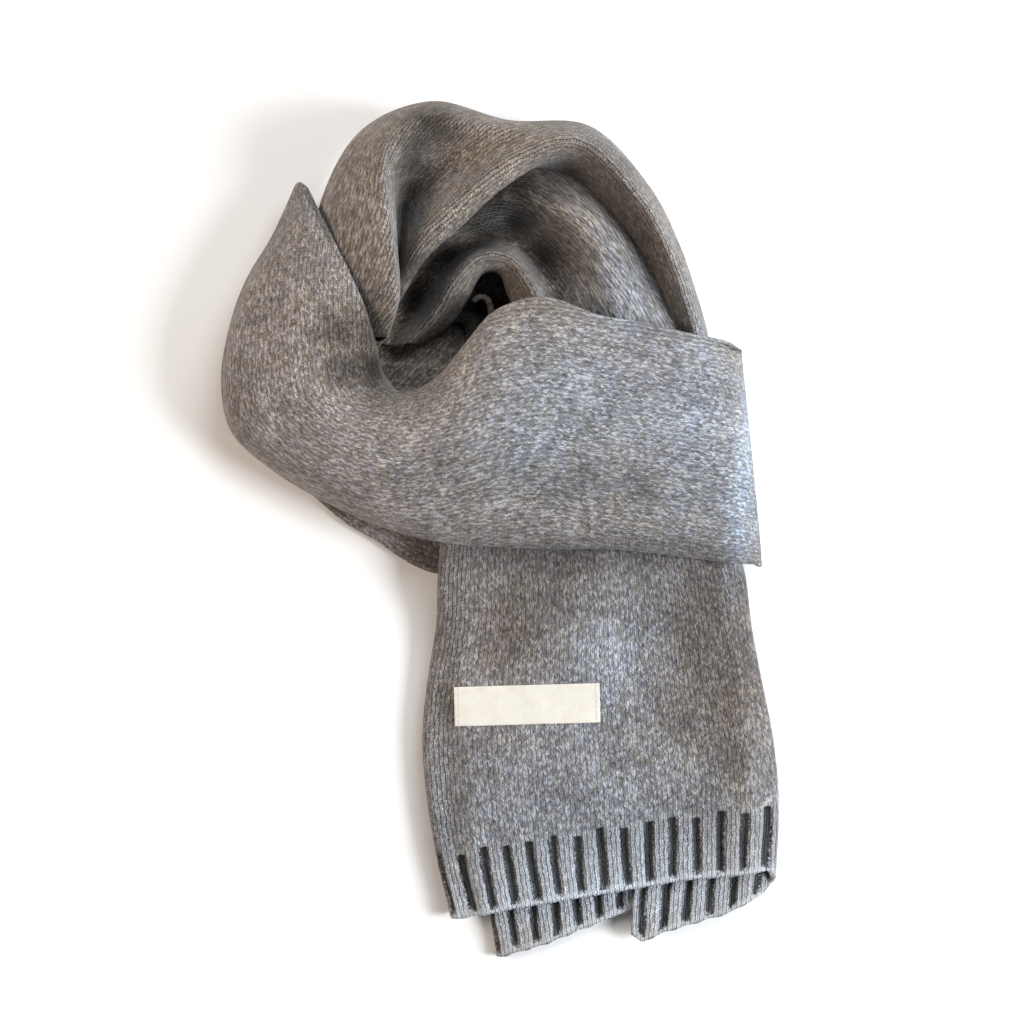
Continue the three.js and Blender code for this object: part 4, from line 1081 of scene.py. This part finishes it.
# Studio: lamps with their place in metres, size, power and colour, all turned to a point on the scarf
LAMPS = [
    ("window", (0.88, -0.1, 0.68), 0.45, 17.0, (0.93, 0.965, 1.0)),
    ("side", (0.35, 0.72, 0.78), 0.6, 7.0, (0.88, 0.95, 1.0)),
    ("lamp", (-0.95, 0.1, 0.65), 0.5, 8.0, (1.0, 0.83, 0.68)),
]
LAMP_TARGET = (0, 0.05, 0.02)
SKY, SKY_STRENGTH = (0.95, 0.97, 1.0, 1), 0.1
FLOOR_REACH, FLOOR_Z = 1.6, -0.0006
CAMERA_PLACE = (0.00527, 0.01226, 0.75)
CAMERA_LENS, CAMERA_SENSOR = 53.47, 36.0


def pale_floor():
    """Square sheet a little below the scarf."""
    mesh = bpy.data.meshes.new("floor")
    sides = [(-1, -1), (1, -1), (1, 1), (-1, 1)]
    mesh.from_pydata([(x * FLOOR_REACH, y * FLOOR_REACH, FLOOR_Z) for x, y in sides], [], [(0, 1, 2, 3)])
    material, _, shader = principled("pale_floor", {"Roughness": 0.9})
    shader.inputs["Base Color"].default_value = FLOOR_WHITE
    mesh.materials.append(material)
    sheet = bpy.data.objects.new("floor", mesh)
    bpy.context.scene.collection.objects.link(sheet)


def studio():
    """Pale floor, cool soft key from the upper right, warm fill from the left, and the camera overhead."""
    scene = bpy.context.scene
    world = bpy.data.worlds.new("studio")
    world.use_nodes = True
    sky = world.node_tree.nodes["Background"]
    sky.inputs[0].default_value = SKY
    sky.inputs[1].default_value = SKY_STRENGTH
    scene.world = world
    pale_floor()
    for name, place, size, power, color in LAMPS:
        light = bpy.data.lights.new(name, "AREA")
        light.size, light.energy, light.color = size, power, color
        lamp = bpy.data.objects.new(name, light)
        lamp.location = place
        direction = Vector(LAMP_TARGET) - Vector(place)
        lamp.rotation_euler = direction.to_track_quat("-Z", "Y").to_euler()
        scene.collection.objects.link(lamp)

    scene.view_settings.view_transform = "Standard"
    lens = bpy.data.cameras.new("camera")
    lens.lens, lens.sensor_width = CAMERA_LENS, CAMERA_SENSOR
    camera = bpy.data.objects.new("camera", lens)
    camera.location = CAMERA_PLACE
    scene.collection.objects.link(camera)
    scene.camera = camera


studio()
WOOL = wool_material()
SATIN = satin_material()

# Wound stretches: name, sections, points along and across, creases, reference, folds and shadow
STRETCHES = [
    ("cross_band", cross_band_sections(), (220, 130), BAND_CREASES, 0.5, [(0.8, 0.5, 6)], (0.84, 1.0, 0.6)),
    (
        "outer_loop", outer_loop_sections(), (210, 140), OUTER_CREASES, 0.65,
        [(0.65, 1.0, 7), (0.36, 0.8, 7)], (0.7, 0.95, 0.7),
    ),
    (
        "inner_loop", inner_loop_sections(), (180, 120), INNER_CREASES, 0.6,
        [(0.6, 0.9, 5), (0.02, 0.5, 5)], (0.66, 0.95, 0.8),
    ),
]
for stretch in STRETCHES:
    wound_stretch(*stretch, WOOL, ["hidden_layers_knit"])
tail_piece(
    "front_tail", FRONT_TAIL, FRONT_FOLD, FRONT_TURN_UNDER, -180.0, front_hem, settle_front, 400, WOOL,
)
tail_piece(
    "back_tail", BACK_TAIL, BACK_FOLD, BACK_TURN_UNDER, -190.0, back_hem, settle_back, 340, WOOL,
)
label_piece(SATIN)
hidden_layers_piece(WOOL)
centre_curl_piece(WOOL)
